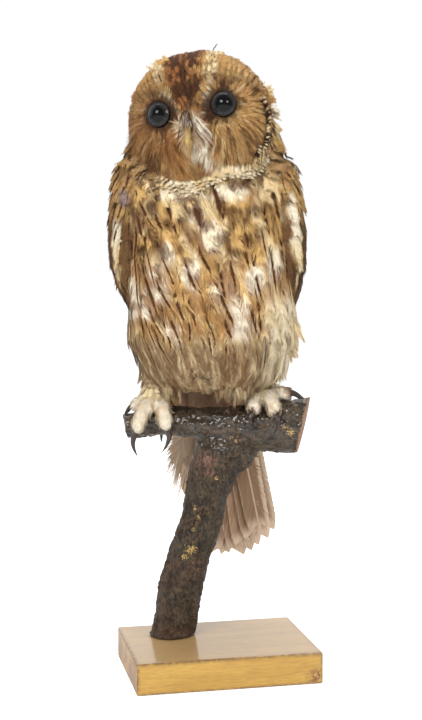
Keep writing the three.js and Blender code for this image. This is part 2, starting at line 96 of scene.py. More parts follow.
# How far the facial disc's lower rim hangs, in the head's frame: x and drop.
DISC_X = np.array([-56, -46, -41, -36, -31, -25, -19, -13, -2, 5, 12, 18, 26, 36, 44, 49])
DISC_DROP = np.array([36, 36, 36, 34, 32, 35, 38, 39, 38.5, 36, 32.5, 30, 32, 36.5, 34, 31])

# Patches of the breast and belly: x, z, half width and half height.
PALE_PATCHES = np.array([
    [-36, 296, 8, 15], [-56, 285, 6, 16], [-46, 281, 6, 10], [2, 332, 9, 12], [-8, 345, 6, 7],
    [11, 292, 8, 10], [22, 279, 9, 7], [24, 265, 10, 8], [49, 310, 6, 13], [34, 300, 7, 10],
    [-25, 263, 6, 6], [-12, 305, 6, 12], [-30, 318, 5, 9], [10, 364, 20, 6], [-24, 362, 12, 4],
])
DARK_PATCHES = np.array([
    [27, 346, 6, 9], [36, 332, 6, 9], [-27, 341, 10, 6], [9, 354, 5, 9], [-1, 280, 15, 5],
    [13, 265, 8, 6], [-42, 352, 6, 9], [-20, 322, 8, 5], [44, 352, 6, 10], [-48, 322, 6, 6],
    [20, 320, 8, 5], [-16, 358, 6, 6], [-35, 272, 10, 4],
])

# A folded wing's spine: out from the middle, mid, y and z, from shoulder to tip.
WING_SPINE = np.array([
    [60, -5, -4, 388], [64, -5, 2, 374], [66, -4, 11, 348], [66, -3.5, 22, 320],
    [56, -1, 38, 294], [43, 0, 52, 268], [34, 0, 61, 238], [26, 0, 66, 208], [23, 0, 67, 196],
])
WING_CHORD = np.array([20, 46, 64, 70, 66, 60, 52, 38, 18])
# The pale band down a folded wing's front: heights, then the chord at its inner and outer edge.
WING_BAND = np.array([
    [285, 299, 307, 322, 337, 351, 366, 373],
    [-1.40, -1.36, -1.27, -1.17, -1.11, -1.06, -0.97, -0.95],
    [-1.40, -1.24, -1.05, -0.84, -0.79, -0.77, -0.84, -0.95],
])
WING_SMUDGE = np.array([[-66, 360, 4, 7]])
PRIMARY = {
    "count": 4, "length": 96.0, "width": 17.0, "step": 14.0, "top": 216.0, "spread": 2.2,
    "mid": -1.0, "x": 24.0, "y": 69.0, "lean": math.radians(7), "back": math.radians(2),
    "stack": 0.9,
}
TAIL = {
    "count": 10, "length": 167.0, "width": 25.0, "stack": 1.05, "top": 236.0, "y": 53.0,
    "x": 3.0, "fan": math.radians(2), "swing": math.radians(2.6), "slope": math.radians(4),
    "shorten": 2.1, "strays": 3, "stray_length": 106.0, "stray_trim": 5.0,
    "stray_fan": math.radians(10.5), "stray_step": math.radians(2.6), "spacing": 1.6,
}
PERCH = np.array([
    [-67, 0, 187.5, 10.2], [-43, 1, 190.5, 11], [-19, 1, 190.5, 12.4], [5, 0, 189, 14.8],
    [29, -1, 186.8, 18.4], [53, -2, 188, 20.8], [77, -2, 189.5, 21.3],
])
# Golden lichen and a reddish scar on the bark's front: x, z, half width and half height.
LICHEN = np.array([
    [-16, 95, 6, 5], [-21, 89, 4, 3], [59, 185, 4, 5], [54, 190, 3, 3], [15, 181, 2, 2], [18, 178, 2, 2],
    [-13, 127, 2, 3], [-10, 120, 2, 2], [-26, 133, 2, 2], [3, 150, 2, 2], [-14, 110, 2, 2],
])
SCARS = np.array([[-5, 163, 8, 5], [-2, 154, 4, 3]])
FEET_X = {"right": -45.0, "left": 39.0}
ANKLE = 226.0

SIDES = {"left": 1, "right": -1}
TOES = [f"toe_{toe}_{side}" for side in SIDES for toe in ("middle", "inner", "outer", "hind")]
FLESH = [
    "head", "neck", "trunk", "tail_coverts", "wing_left", "wing_right", "thigh_left",
    "thigh_right", "tarsus_left", "tarsus_right", *TOES,
]


# ---------------------------------------------------------------- settings
def colour(name, description, red, green, blue):
    """A colour setting given as 0 to 255 screen values."""
    return FloatVectorProperty(
        name=name, description=description, subtype="COLOR_GAMMA", size=3, min=0, max=1,
        default=(red / 255, green / 255, blue / 255),
    )


def millimetres(name, description, default, low, high):
    return FloatProperty(
        name=name, description=description, default=default * MM, min=low * MM, max=high * MM,
        subtype="DISTANCE", unit="LENGTH",
    )


class OwlColours(bpy.types.PropertyGroup):
    """Colours of the plumage, the horn and the mount."""

    white: colour("White", "Bristles at the bill and the palest webs", 243, 233, 211)
    cream: colour("Cream", "Belly ground, collar and feet", 238, 217, 172)
    buff: colour("Buff", "Ground of the head and breast", 218, 179, 114)
    gold: colour("Gold", "Warm bars on the belly", 190, 148, 92)
    rufous: colour("Rufous", "Facial disc and crown flecks", 148, 96, 57)
    brown: colour("Brown", "Back and wing ground", 128, 92, 60)
    umber: colour("Umber", "Streaks of the breast", 80, 48, 28)
    chocolate: colour("Chocolate", "Crown stripe and shaft streaks", 62, 38, 24)
    ash: colour("Ash", "Down and the lowest belly", 158, 134, 102)
    rose: colour("Rose brown", "Undersides of the tail", 176, 144, 118)
    pale_edge: colour("Pale edge", "Fringes and shafts of the tail", 232, 208, 182)
    horn: colour("Bill horn", "Ridge and hook of the bill", 196, 162, 96)
    claw: colour("Claw", "Claws", 44, 34, 30)
    lid: colour("Eyelid", "Rims of the eyes", 24, 19, 17)
    bark: colour("Bark", "Varnished bark", 86, 66, 46)
    wood: colour("Block", "Varnished block", 214, 168, 72)


class OwlCoat(bpy.types.PropertyGroup):
    """Sizes of the plumage."""

    seed: IntProperty(name="Seed", description="Start of the random draws", default=7, min=0)
    breast_length: millimetres("Breast feather", "Length of a breast feather", 36, 15, 50)
    crown_length: millimetres("Crown feather", "Length of a crown feather", 10, 5, 20)
    disc_length: millimetres("Disc feather", "Length of a feather in the facial disc", 8, 3, 15)
    foot_length: millimetres("Foot plush", "Length of the plush on the toes", 6, 2, 9)


class OwlStage(bpy.types.PropertyGroup):
    """Light and backdrop."""

    key: FloatProperty(name="Key light", description="Power of the key light", default=19, unit="POWER")
    fill: FloatProperty(name="Fill light", description="Power of the fill light", default=8, unit="POWER")
    sky: FloatProperty(name="Surround", description="Strength of the white surround", default=0.42)
    lens: FloatProperty(name="Lens", description="Focal length in mm", default=65.85, min=20, max=200)


def palette(name):
    """A named colour as linear values."""
    screen = np.array(getattr(bpy.context.scene.owl_colours, name))
    return np.where(screen <= 0.04045, screen / 12.92, ((screen + 0.055) / 1.055) ** 2.4)


# ---------------------------------------------------------------- small mathematics
def ease(low, high, value):
    """0 below low, 1 above high, smooth between. low may be the greater."""
    t = np.clip((value - low) / (high - low), 0, 1)
    return t * t * (3 - 2 * t)


def mix(first, second, share):
    """Between two colours, or two sets of them, by a share for each place."""
    share = np.asarray(share, float)[..., None]
    return first + (second - first) * share


def between(first, second, share):
    """Between two numbers by a share for each place."""
    return first + (second - first) * np.asarray(share, float)


def unit(vectors):
    return vectors / np.maximum(np.linalg.norm(vectors, axis=-1, keepdims=True), 1e-9)


def tangent(ways, normals):
    return unit(ways - normals * np.sum(ways * normals, axis=-1, keepdims=True))


def patches(points, size, seed):
    """Smooth random patches of that size: a value from 0 to 1 at each point."""
    cell = points / size + seed * 17.31
    low = np.floor(cell).astype(np.int64)
    part = cell - low
    part = part * part * (3 - 2 * part)
    total = np.zeros(len(points))
    for corner in np.ndindex(2, 2, 2):
        at = low + corner
        mixed = (at[:, 0] * 73856093) ^ (at[:, 1] * 19349663) ^ (at[:, 2] * 83492791) ^ (seed * 2654435)
        value = ((mixed * 1103515245 + 12345) & 0x7FFFFFFF) / 0x7FFFFFFF
        share = np.prod(np.where(corner, part, 1 - part), axis=1)
        total += value * share
    return np.clip((total - 0.5) * 1.5 + 0.5, 0, 1)


# ---------------------------------------------------------------- mesh helpers
def select_only(*objects):
    bpy.ops.object.select_all(action="DESELECT")
    for obj in objects:
        obj.select_set(True)
    bpy.context.view_layer.objects.active = objects[-1]


def apply_modifier(obj, kind, **settings):
    modifier = obj.modifiers.new(kind.title(), kind)
    for key, value in settings.items():
        setattr(modifier, key, value)
    select_only(obj)
    bpy.ops.object.modifier_apply(modifier=modifier.name)


def in_edit(obj, *calls):
    """Runs operators on obj with its whole mesh selected in edit mode."""
    select_only(obj)
    bpy.ops.object.mode_set(mode="EDIT")
    bpy.ops.mesh.select_all(action="SELECT")
    for call in calls:
        call()
    bpy.ops.object.mode_set(mode="OBJECT")


def copy_nodes(name, *nodes):
    """One new object holding merged copies of those CAD nodes."""
    joined = bmesh.new()
    for node in nodes:
        joined.from_mesh(NODES[node].data)
    mesh = bpy.data.meshes.new(name)
    joined.to_mesh(mesh)
    joined.free()
    obj = bpy.data.objects.new(name, mesh)
    bpy.context.scene.collection.objects.link(obj)
    in_edit(obj, lambda: bpy.ops.mesh.remove_doubles(threshold=1e-5))
    return obj


def points_of(mesh):
    found = np.empty(len(mesh.vertices) * 3, np.float32)
    mesh.vertices.foreach_get("co", found)
    return found.reshape(-1, 3).astype(float)


def set_points(mesh, points):
    mesh.vertices.foreach_set("co", np.asarray(points, np.float32).ravel())
    mesh.update()


def largest_shell(obj):
    """Deletes every loose part but the biggest, such as a void's lining."""
    select_only(obj)
    mesh = obj.data
    labels = np.arange(len(mesh.vertices))
    edges = np.empty(len(mesh.edges) * 2, np.int32)
    mesh.edges.foreach_get("vertices", edges)
    edges = edges.reshape(-1, 2)
    while True:
        low = np.minimum(labels[edges[:, 0]], labels[edges[:, 1]])
        before = labels.copy()
        np.minimum.at(labels, edges[:, 0], low)
        np.minimum.at(labels, edges[:, 1], low)
        labels = labels[labels]
        if np.array_equal(before, labels):
            break
    kept = np.bincount(labels).argmax()
    mesh.vertices.foreach_set("select", labels != kept)
    bpy.ops.object.mode_set(mode="EDIT")
    bpy.ops.mesh.select_mode(type="VERT")
    bpy.ops.mesh.delete(type="VERT")
    bpy.ops.object.mode_set(mode="OBJECT")


def finish_piece(obj, slot, material, *nodes):
    """Puts a finished piece on the root body, with its material. The slot is not used."""
    obj.data.materials.clear()
    obj.data.materials.append(material)
    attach(obj, "root")
    if nodes:
        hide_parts(*nodes)
    return obj


class Surface:
    """A triangulated surface in bird millimetres that points can be laid on."""

    def __init__(self, points, triangles):
        self.points = points
        self.triangles = triangles
        a, b, c = (points[triangles[:, k]] for k in range(3))
        cross = np.cross(b - a, c - a)
        self.areas = np.linalg.norm(cross, axis=1) / 2
        normals = np.zeros_like(points)
        for k in range(3):
            np.add.at(normals, triangles[:, k], cross)
        self.normals = unit(normals)
        self.centres = (a + b + c) / 3
        self.tree = BVHTree.FromPolygons(points.tolist(), triangles.tolist())

    def nearest(self, points):
        """The nearest points on the surface, smooth normals there, and their triangles."""
        found = [self.tree.find_nearest(p) for p in points.tolist()]
        at = np.array([f[0] for f in found])
        index = np.array([f[2] for f in found])
        return at, unit(self.normals[self.triangles[index]].mean(axis=1)), index

    def scatter(self, chosen, spacing, rng):
        """Random places on the chosen triangles, no two nearer than spacing."""
        picked = np.flatnonzero(chosen)
        if not len(picked):
            return np.zeros((0, 3)), picked
        areas = self.areas[picked]
        count = int(2.6 * areas.sum() / spacing**2) + 1
        index = picked[rng.choice(len(picked), count, p=areas / areas.sum())]
        r = rng.random((count, 2))
        flip = r.sum(axis=1) > 1
        r[flip] = 1 - r[flip]
        a, b, c = (self.points[self.triangles[index, k]] for k in range(3))
        places = a + (b - a) * r[:, :1] + (c - a) * r[:, 1:]
        keep = []
        cells = {}
        size = spacing
        keys = np.floor(places / size).astype(int)
        around = [o for o in np.ndindex(3, 3, 3)]
        for i, (key, place) in enumerate(zip(keys.tolist(), places.tolist())):
            near = False
            for o in around:
                for j in cells.get((key[0] + o[0] - 1, key[1] + o[1] - 1, key[2] + o[2] - 1), ()):
                    q = places[j]
                    if (q[0] - place[0]) ** 2 + (q[1] - place[1]) ** 2 + (q[2] - place[2]) ** 2 < spacing**2:
                        near = True
                        break
                if near:
                    break
            if not near:
                cells.setdefault(tuple(key), []).append(i)
                keep.append(i)
        keep = np.array(keep)
        return places[keep], index[keep]


# ---------------------------------------------------------------- feather shapes
def web_width(along):
    """A contour feather's half width against its greatest, from root to rounded tip."""
    swell = 0.34 + 0.66 * ease(0, 0.55, along)
    tip = np.sqrt(np.clip(1 - (np.clip(along - 0.6, 0, 1) / 0.4) ** 2, 0, 1))
    return swell * tip


def strip(parts, root, middle, tip, thick):
    """Adds one barb: a thin strip that tapers to a point. Points are (along, across, up) in mm."""
    points, faces = parts
    way = unit(np.array(tip) - np.array(root))
    side = np.array([-way[1], way[0], 0]) * thick / 2
    first = len(points)
    points += [
        np.array(root) - side, np.array(root) + side,
        np.array(middle) - side * 0.85, np.array(middle) + side * 0.85, np.array(tip),
    ]
    faces += [
        (first, first + 1, first + 3), (first, first + 3, first + 2),
        (first + 2, first + 3, first + 4),
    ]


def plume(rng, length, half, barbs, thick, reach=0.26, vane=0.66, rows=5, fray=0.1, curl=0.5):
    """A contour feather: a solid middle vane with loose barbs beyond its edge and tip."""
    points, faces = [], []
    for k in range(rows):
        u = 0.86 * k / (rows - 1)
        wide = vane * half * web_width(u)
        points += [np.array([u * length, s * wide, 0.22 * (s == 0)]) for s in (-1, 0, 1)]
    for k in range(rows - 1):
        for c in range(2):
            a = 3 * k + c
            faces += [(a, a + 4, a + 1), (a, a + 3, a + 4)]
    points.append(np.array([0.95 * length, 0, 0.1]))
    a = 3 * (rows - 1)
    faces += [(a, a + 3, a + 1), (a + 1, a + 3, a + 2)]
    parts = points, faces
    for side in (-1, 1):
        for j in range(barbs):
            u = 0.06 + 0.8 * (j + rng.uniform(0.1, 0.9)) / barbs
            end = min(u + reach * rng.uniform(0.75, 1.2), 1.04)
            wide = half * web_width(min(end - 0.08, 0.9)) * (1 + fray * rng.normal())
            lift = curl * rng.uniform(-0.1, 1) * rng.random()
            strip(
                parts, (u * length, side * 0.1 * half, 0.12),
                ((0.58 * u + 0.42 * end) * length, side * 0.62 * wide, 0.2 + 0.4 * lift),
                (end * length, side * wide, lift), thick,
            )
    for j in range(max(barbs // 2, 3)):
        across = rng.uniform(-0.5, 0.5) * half
        end = 1 + fray * rng.normal() * 0.5
        lift = curl * rng.uniform(-0.1, 1) * rng.random()
        strip(
            parts, (0.68 * length, 0.25 * across, 0.15), (0.85 * length, 0.6 * across, 0.2),
            (end * length, across, lift), thick,
        )
    return np.array(points), np.array(faces)


def tuft(rng, length, half, barbs, thick, spread=0.8, curl=0.4):
    """A small soft feather: barbs fanned from one root."""
    parts = [], []
    order = np.linspace(-1, 1, barbs)
    for j in range(barbs):
        across = half * (order[j] + rng.normal() * 0.16)
        end = length * (1 - 0.28 * order[j] ** 2 + rng.normal() * 0.09)
        lift = curl * rng.uniform(-0.4, 1)
        strip(
            parts, (0, 0.25 * across * spread, 0), (0.5 * end, 0.72 * across, 0.3 * abs(lift)),
            (end, across, lift), thick * rng.uniform(0.8, 1.2),
        )
    return np.array(parts[0]), np.array(parts[1])


def quill(rng, length, half, barbs, splits, lean=0.0, rachis=0.8):
    """A flight or tail feather: close barbs that tile two webs, parted in places, and a shaft."""
    points, faces = [], []
    for side in (-1, 1):
        web = half * (1 + side * lean)
        part = np.cumsum(rng.random(barbs) < splits / barbs) * 1.0
        shift = part - part.mean() if part.any() else part
        for j in range(barbs):
            u0 = 0.05 + 0.9 * j / barbs
            u1 = 0.05 + 0.9 * (j + 1.3) / barbs
            row = []
            for step in (0.0, 0.5, 1.0):
                slope = 0.42 * web * step / length * (1 + 0.04 * shift[j])
                for u in (u0, u1):
                    at = min(u + slope + 0.0012 * rng.normal() * step, 1.02)
                    wide = web * quill_width(min(u, 0.985)) * step * (1 + 0.012 * rng.normal())
                    row.append(np.array([at * length, side * wide, 0.5 - 0.9 * step**2 + 0.12 * rng.normal() * step]))
            first = len(points)
            points += row
            for a in (0, 2):
                b = first + a
                faces += [(b, b + 1, b + 3), (b, b + 3, b + 2)]
    first = len(points)
    cuts = 12
    for k in range(cuts + 1):
        u = k / cuts
        r = rachis * (1 - 0.86 * u)
        points += [np.array([u * length * 0.97, r * math.cos(a), 0.55 + r * math.sin(a)]) for a in (0, 2.09, 4.19)]
    for k in range(cuts):
        for c in range(3):
            a, b = first + 3 * k + c, first + 3 * k + (c + 1) % 3
            faces += [(a, b, b + 3), (a, b + 3, a + 3)]
    return np.array(points), np.array(faces)


def quill_width(u):
    """A long feather's half width against its greatest."""
    swell = 0.45 + 0.55 * ease(0, 0.3, u)
    tip = np.sqrt(np.clip(1 - (np.clip(u - 0.86, 0, 1) / 0.14) ** 2, 0, 1))
    return swell * tip


# ---------------------------------------------------------------- laying a coat
def trails(surface, places, normals, lengths, flow, steps):
    """Shaft lines over the surface from each place: points and normals, (count, steps + 1, 3)."""
    line, lie = [places], [normals]
    way = flow(places, normals)
    for _ in range(steps):
        at = line[-1] + way * (lengths / steps)[:, None]
        at, normal, _ = surface.nearest(at)
        way = tangent(0.55 * way + 0.45 * flow(at, normal), normal)
        line.append(at)
        lie.append(unit(0.4 * lie[-1] + 0.6 * normal))
    return np.stack(line, 1), np.stack(lie, 1)


def lay(shape, size, line, lie, look, rng):
    """Feather meshes of one shape along the shaft lines: points with their lie, triangles and vane map."""
    points, triangles = shape
    length, half = size
    count, steps = line.shape[0], line.shape[1] - 1
    along = np.clip(points[:, 0] / length, 0, 1.2)
    across, up = points[:, 1] / half, points[:, 2]
    place = np.clip(along * steps, 0, steps - 1e-6)
    low = np.minimum(place.astype(int), steps - 1)
    part = along * steps - low
    weights = np.zeros((len(points), steps + 1))
    weights[np.arange(len(points)), low] = 1 - part
    weights[np.arange(len(points)), low + 1] = part
    at = np.einsum("ms,fsc->fmc", weights, line)
    normal = unit(np.einsum("ms,fsc->fmc", weights, lie))
    ahead = unit(np.gradient(line, axis=1))
    ahead = unit(np.einsum("ms,fsc->fmc", weights, ahead))
    side = unit(np.cross(normal, ahead))
    wide = look["half"][:, None] * across[None, :]
    bend = look["bend"][:, None] * np.clip(along, 0, 1)[None, :] ** 2
    sag = wide**2 / (2 * look["droop"])
    rise = look["low"][:, None] + (look["high"] - look["low"])[:, None] * along[None, :] ** 1.25
    rise = rise + up[None, :] * look["rough"][:, None] - sag + look["roll"][:, None] * wide
    at = at + side * (wide + bend)[..., None] + normal * rise[..., None]
    vane = np.stack([np.clip(along, 0.001, 0.999), np.clip(0.5 + 0.5 * across, 0.001, 0.999)], 1)
    return (at, normal), triangles, vane


def write_piece(name, batches):
    """One mesh object from batches of (points, triangles, vane map, look, root map)."""
    all_points, all_faces, maps, bake, tints, grounds, marks, patterns, lies = ([] for _ in range(9))
    base = 0
    for (at, lie), triangles, vane, look, rooted in batches:
        count, size = at.shape[:2]
        lies.append(lie.reshape(-1, 3) @ MOUNT_TURN.T)
        all_points.append(to_world(at.reshape(-1, 3)))
        offset = base + np.arange(count) * size
        all_faces.append((triangles[None] + offset[:, None, None]).reshape(-1, 3))
        maps.append(np.tile(vane, (count, 1)))
        patch = (vane[None] - 0.5) * look.get("patch", 0.003) + rooted[:, None, :]
        bake.append(patch.reshape(-1, 2))
        tints.append(np.repeat(look["tint"], size))
        if "paint" in look:
            ground, mark = look["paint"](at.reshape(-1, 3))[:2]
            grounds.append(ground)
            marks.append(mark)
        else:
            grounds.append(np.repeat(look["ground"], size, axis=0))
            marks.append(np.repeat(look["mark"], size, axis=0))
        patterns.append(np.repeat(look["pattern"], size, axis=0))
        base += count * size
    points, faces = np.concatenate(all_points), np.concatenate(all_faces)
    lies = np.concatenate(lies)
    a, b, c = (points[faces[:, k]] for k in range(3))
    inward = np.sum(np.cross(b - a, c - a) * lies[faces].sum(axis=1), axis=1) < 0
    faces[inward] = faces[inward][:, ::-1]
    mesh = bpy.data.meshes.new(name)
    mesh.vertices.add(len(points))
    mesh.loops.add(faces.size)
    mesh.polygons.add(len(faces))
    mesh.vertices.foreach_set("co", points.astype(np.float32).ravel())
    mesh.loops.foreach_set("vertex_index", faces.astype(np.int32).ravel())
    mesh.polygons.foreach_set("loop_start", np.arange(0, faces.size, 3, dtype=np.int32))
    mesh.update(calc_edges=True)
    corners = faces.ravel()
    for title, values in (("vane", maps), ("OFBake", bake)):
        layer = mesh.uv_layers.new(name=title, do_init=False)
        layer.uv.foreach_set("vector", np.concatenate(values)[corners].astype(np.float32).ravel())
    opaque = np.ones((len(points), 1))
    for title, values in (("ground", grounds), ("mark", marks)):
        layer = mesh.attributes.new(title, "FLOAT_COLOR", "POINT")
        full = np.hstack([np.concatenate(values), opaque]).astype(np.float32)
        layer.data.foreach_set("color", full.ravel())
    layer = mesh.attributes.new("pattern", "FLOAT_VECTOR", "POINT")
    layer.data.foreach_set("vector", np.concatenate(patterns).astype(np.float32).ravel())
    layer = mesh.attributes.new("tint", "FLOAT", "POINT")
    layer.data.foreach_set("value", np.concatenate(tints).astype(np.float32))
    mesh.polygons.foreach_set("use_smooth", np.ones(len(faces), bool))
    own = np.empty(len(points) * 3, np.float32)
    mesh.vertices.foreach_get("normal", own)
    own = own.reshape(-1, 3)
    mesh.normals_split_custom_set_from_vertices(unit(0.35 * own + lies).astype(np.float32))
    obj = bpy.data.objects.new(name, mesh)
    bpy.context.scene.collection.objects.link(obj)
    return obj


def full_look(count, rng, **values):
    """Fills in a coat's look: an array for each value, with small random differences."""
    look = {
        "low": -0.4, "high": 2.5, "droop": 60.0, "rough": 1.0, "bend": 0.0, "roll": 0.0,
        "ground": palette("buff"), "mark": palette("chocolate"), "pattern": np.zeros(3),
    }
    look.update(values)
    for key in ("length", "half", "low", "high", "rough", "bend", "roll"):
        look[key] = np.broadcast_to(np.asarray(look[key], float), (count,)).copy()
    for key in ("ground", "mark", "pattern"):
        look[key] = np.broadcast_to(np.asarray(look[key], float), (count, 3)).copy()
    look["length"] *= rng.normal(1, 0.07, count).clip(0.8, 1.2)
    look["half"] *= rng.normal(1, 0.08, count).clip(0.8, 1.2)
    look["bend"] += rng.normal(0, 0.05, count) * look["length"]
    look["roll"] += rng.normal(0, 0.06, count)
    look["high"] *= rng.normal(1, 0.14, count).clip(0.6, 1.5)
    look["tint"] = rng.random(count)
    return look


def grow(places, index, shapes, size, flow, look_of, rng, steps=4):
    """Feathers rooted at places on the skin. shapes are variants of one size."""
    skin = BUILT["surface"]
    normals = unit(skin.normals[skin.triangles[index]].mean(axis=1))
    rooted = BUILT["unwrap"][index].mean(axis=1)
    look = full_look(len(places), rng, **look_of(places, normals))
    line, lie = trails(skin, places, normals, look["length"], flow, steps)
    return dress(line, lie, look, rooted, shapes, size, rng)


def dress(line, lie, look, rooted, shapes, size, rng):
    """Lays feathers, each a random one of the shapes, along shaft lines."""
    kind = rng.integers(0, len(shapes), len(line))
    batches = []
    for k, shape in enumerate(shapes):
        mine = kind == k
        if mine.any():
            part = {key: v[mine] if isinstance(v, np.ndarray) and len(v) == len(mine) else v for key, v in look.items()}
            at, triangles, vane = lay(shape, size, line[mine], lie[mine], part, rng)
            batches.append((at, triangles, vane, part, rooted[mine]))
    return batches


# ---------------------------------------------------------------- lie of the feathers
def flow_body(places, normals):
    x = places[:, 0] + 3
    slant = 0.2 + np.where(x < 0, -0.009 * x, -0.007 * x)
    slant = slant * ease(225, 300, places[:, 2]) * ease(30, -10, places[:, 1])
    ways = np.stack([slant, np.zeros(len(x)), -np.ones(len(x))], 1)
    return tangent(ways, normals)


def flow_head(places, normals):
    h, hn = to_head(places), normals @ HEAD_TURN
    front = ease(8, -25, h[:, 1])
    ways = np.stack([0.012 * h[:, 0], np.ones(len(h)), -0.55 + 1.75 * front], 1)
    below = ease(-8, -30, h[:, 2])
    down = np.stack([0.008 * h[:, 0], 0.15 + 0 * below, -np.ones(len(h))], 1)
    ways = mix(ways, down, below)
    return tangent(ways, hn) @ HEAD_TURN.T


def flow_disc(places, normals):
    h, hn = to_head(places), normals @ HEAD_TURN
    side = np.where(h[:, 0] > CROWN_MID, 1, -1)
    from_eye = h - np.stack([side * EYE["x"], np.full(len(h), EYE["y"]), np.full(len(h), EYE["z"])], 1)
    from_bill = h - (BILL_ROOT + np.array([0, 0, -6]))
    near = np.exp(-(np.linalg.norm(from_bill[:, [0, 2]], axis=1) / 15) ** 2)
    ways = mix(unit(from_eye * [1, 0.3, 1]), unit(from_bill * [1, 0.3, 1]), near)
    return tangent(ways, hn) @ HEAD_TURN.T


def flow_wing(side):
    """The flow down one wing's spine."""
    spine = np.stack([WING_SPINE[:, 1] + side * WING_SPINE[:, 0], WING_SPINE[:, 2], WING_SPINE[:, 3]], 1)
    steps = unit(np.diff(spine, axis=0))
    levels = (spine[:-1, 2] + spine[1:, 2]) / 2

    def flow(places, normals):
        z = places[:, 2]
        ways = np.stack([np.interp(-z, -levels, steps[:, k]) for k in range(3)], 1)
        return tangent(ways, normals)

    return flow


def flow_foot(places, normals):
    x = np.where(places[:, 0] > 0, FEET_X["left"], FEET_X["right"])
    ankle = np.stack([x, np.zeros(len(x)), np.full(len(x), ANKLE - 12)], 1)
    ways = mix(-UP + 0 * places, unit(places - ankle), ease(ANKLE - 12, ANKLE - 20, places[:, 2]))
    return tangent(ways, normals)


# ---------------------------------------------------------------- markings
def disc_measure(h):
    """0 at the middle of the face and 1 on the facial disc's rim."""
    across = np.maximum(np.abs(h[:, 0] + 0.5) - 18, 0) / 38
    drop = np.interp(h[:, 0], DISC_X, DISC_DROP)
    rise = np.where(h[:, 2] > -2, (h[:, 2] + 2) / 34, (h[:, 2] + 2) / drop)
    return np.hypot(across, rise)


def blotches(x, z, spots):
    """How deep in the nearest of those patches each place is, 0 to 1."""
    across = (x[:, None] - spots[:, 0]) / spots[:, 2]
    down = (z[:, None] - spots[:, 1]) / spots[:, 3]
    return np.exp(-(across**2 + down**2) * 0.8).max(axis=1)


def crown_point(h):
    """How far inside the dark crown stripe a point is, in mm."""
    high = np.interp(h[:, 2], [0, 9, 20, 46, 60], [-1, 5, 9, 14.5, 16])
    behind = np.interp(h[:, 1], [-20, 10, 50], [0, 3, 9])
    return high + behind - np.abs(h[:, 0] - CROWN_MID)


def eye_distance(h):
    """Distance from the nearer eye's axis, in mm."""
    side = np.where(h[:, 0] > CROWN_MID, 1, -1)
    across = h[:, 0] - side * (EYE["x"] - math.tan(EYE["splay"]) * (h[:, 1] - EYE["y"]))
    return np.hypot(across, h[:, 2] - EYE["z"] + 0.06 * (h[:, 1] - EYE["y"]))


def in_disc(h):
    return (disc_measure(h) < 1) & (h[:, 1] < 6) & (crown_point(h) < 0) & (eye_distance(h) > 8.8)


def look_crown(places, normals):
    h = to_head(places)
    inside = crown_point(h)
    fleck, cloud, fine = patches(places, 5, 3), patches(places, 15, 5), patches(places, 2.6, 9)
    stripe = ease(-1.5, 1.5, inside + 3 * (fleck - 0.5))
    band = ease(-12, -8, inside) * ease(-1, -3, inside) * ease(0, 25, h[:, 2])
    ground = mix(palette("buff"), palette("rufous"), 0.25 + 0.5 * cloud)
    ground = mix(ground, palette("cream"), band * (0.35 + 0.65 * fleck))
    dark = mix(palette("chocolate"), palette("rufous"), 0.9 * ease(0.5, 0.75, fine) + 0.1)
    dark = mix(dark, palette("gold"), 0.8 * ease(0.72, 0.85, fine) * ease(0, 8, h[:, 0] - CROWN_MID))
    ground = mix(ground, dark, stripe)
    behind = ease(-5, 25, h[:, 1])
    ground = mix(ground, mix(palette("buff"), palette("brown"), cloud), behind * 0.5)
    mark = mix(palette("chocolate"), palette("rufous"), 0.3 * cloud)
    outer = ease(24, 40, np.abs(h[:, 0])) * ease(-30, -10, h[:, 1])
    ground = mix(ground, mix(palette("gold"), palette("rufous"), 0.6), 0.5 * outer)
    streak = (0.03 + 0.17 * outer) * ease(0.6, 0.85, fine) + 0.2 * band * ease(0.6, 0.8, fine)
    ground = mix(ground, palette("cream"), 0.6 * outer * ease(0.6, 0.75, patches(places, 4, 10)) * ease(-14, 0, h[:, 2]))
    pattern = np.stack([streak, 0.3 + 0.2 * band, 0.4 * outer * ease(0.5, 0.8, fine)], 1)
    size = 1 + 0.35 * ease(10, 40, h[:, 1])
    return {
        "length": BUILT["coat"].crown_length / MM * size, "half": 2.3 * size, "high": 2.6 * size,
        "ground": ground, "mark": mark, "pattern": pattern, "droop": 50.0,
    }


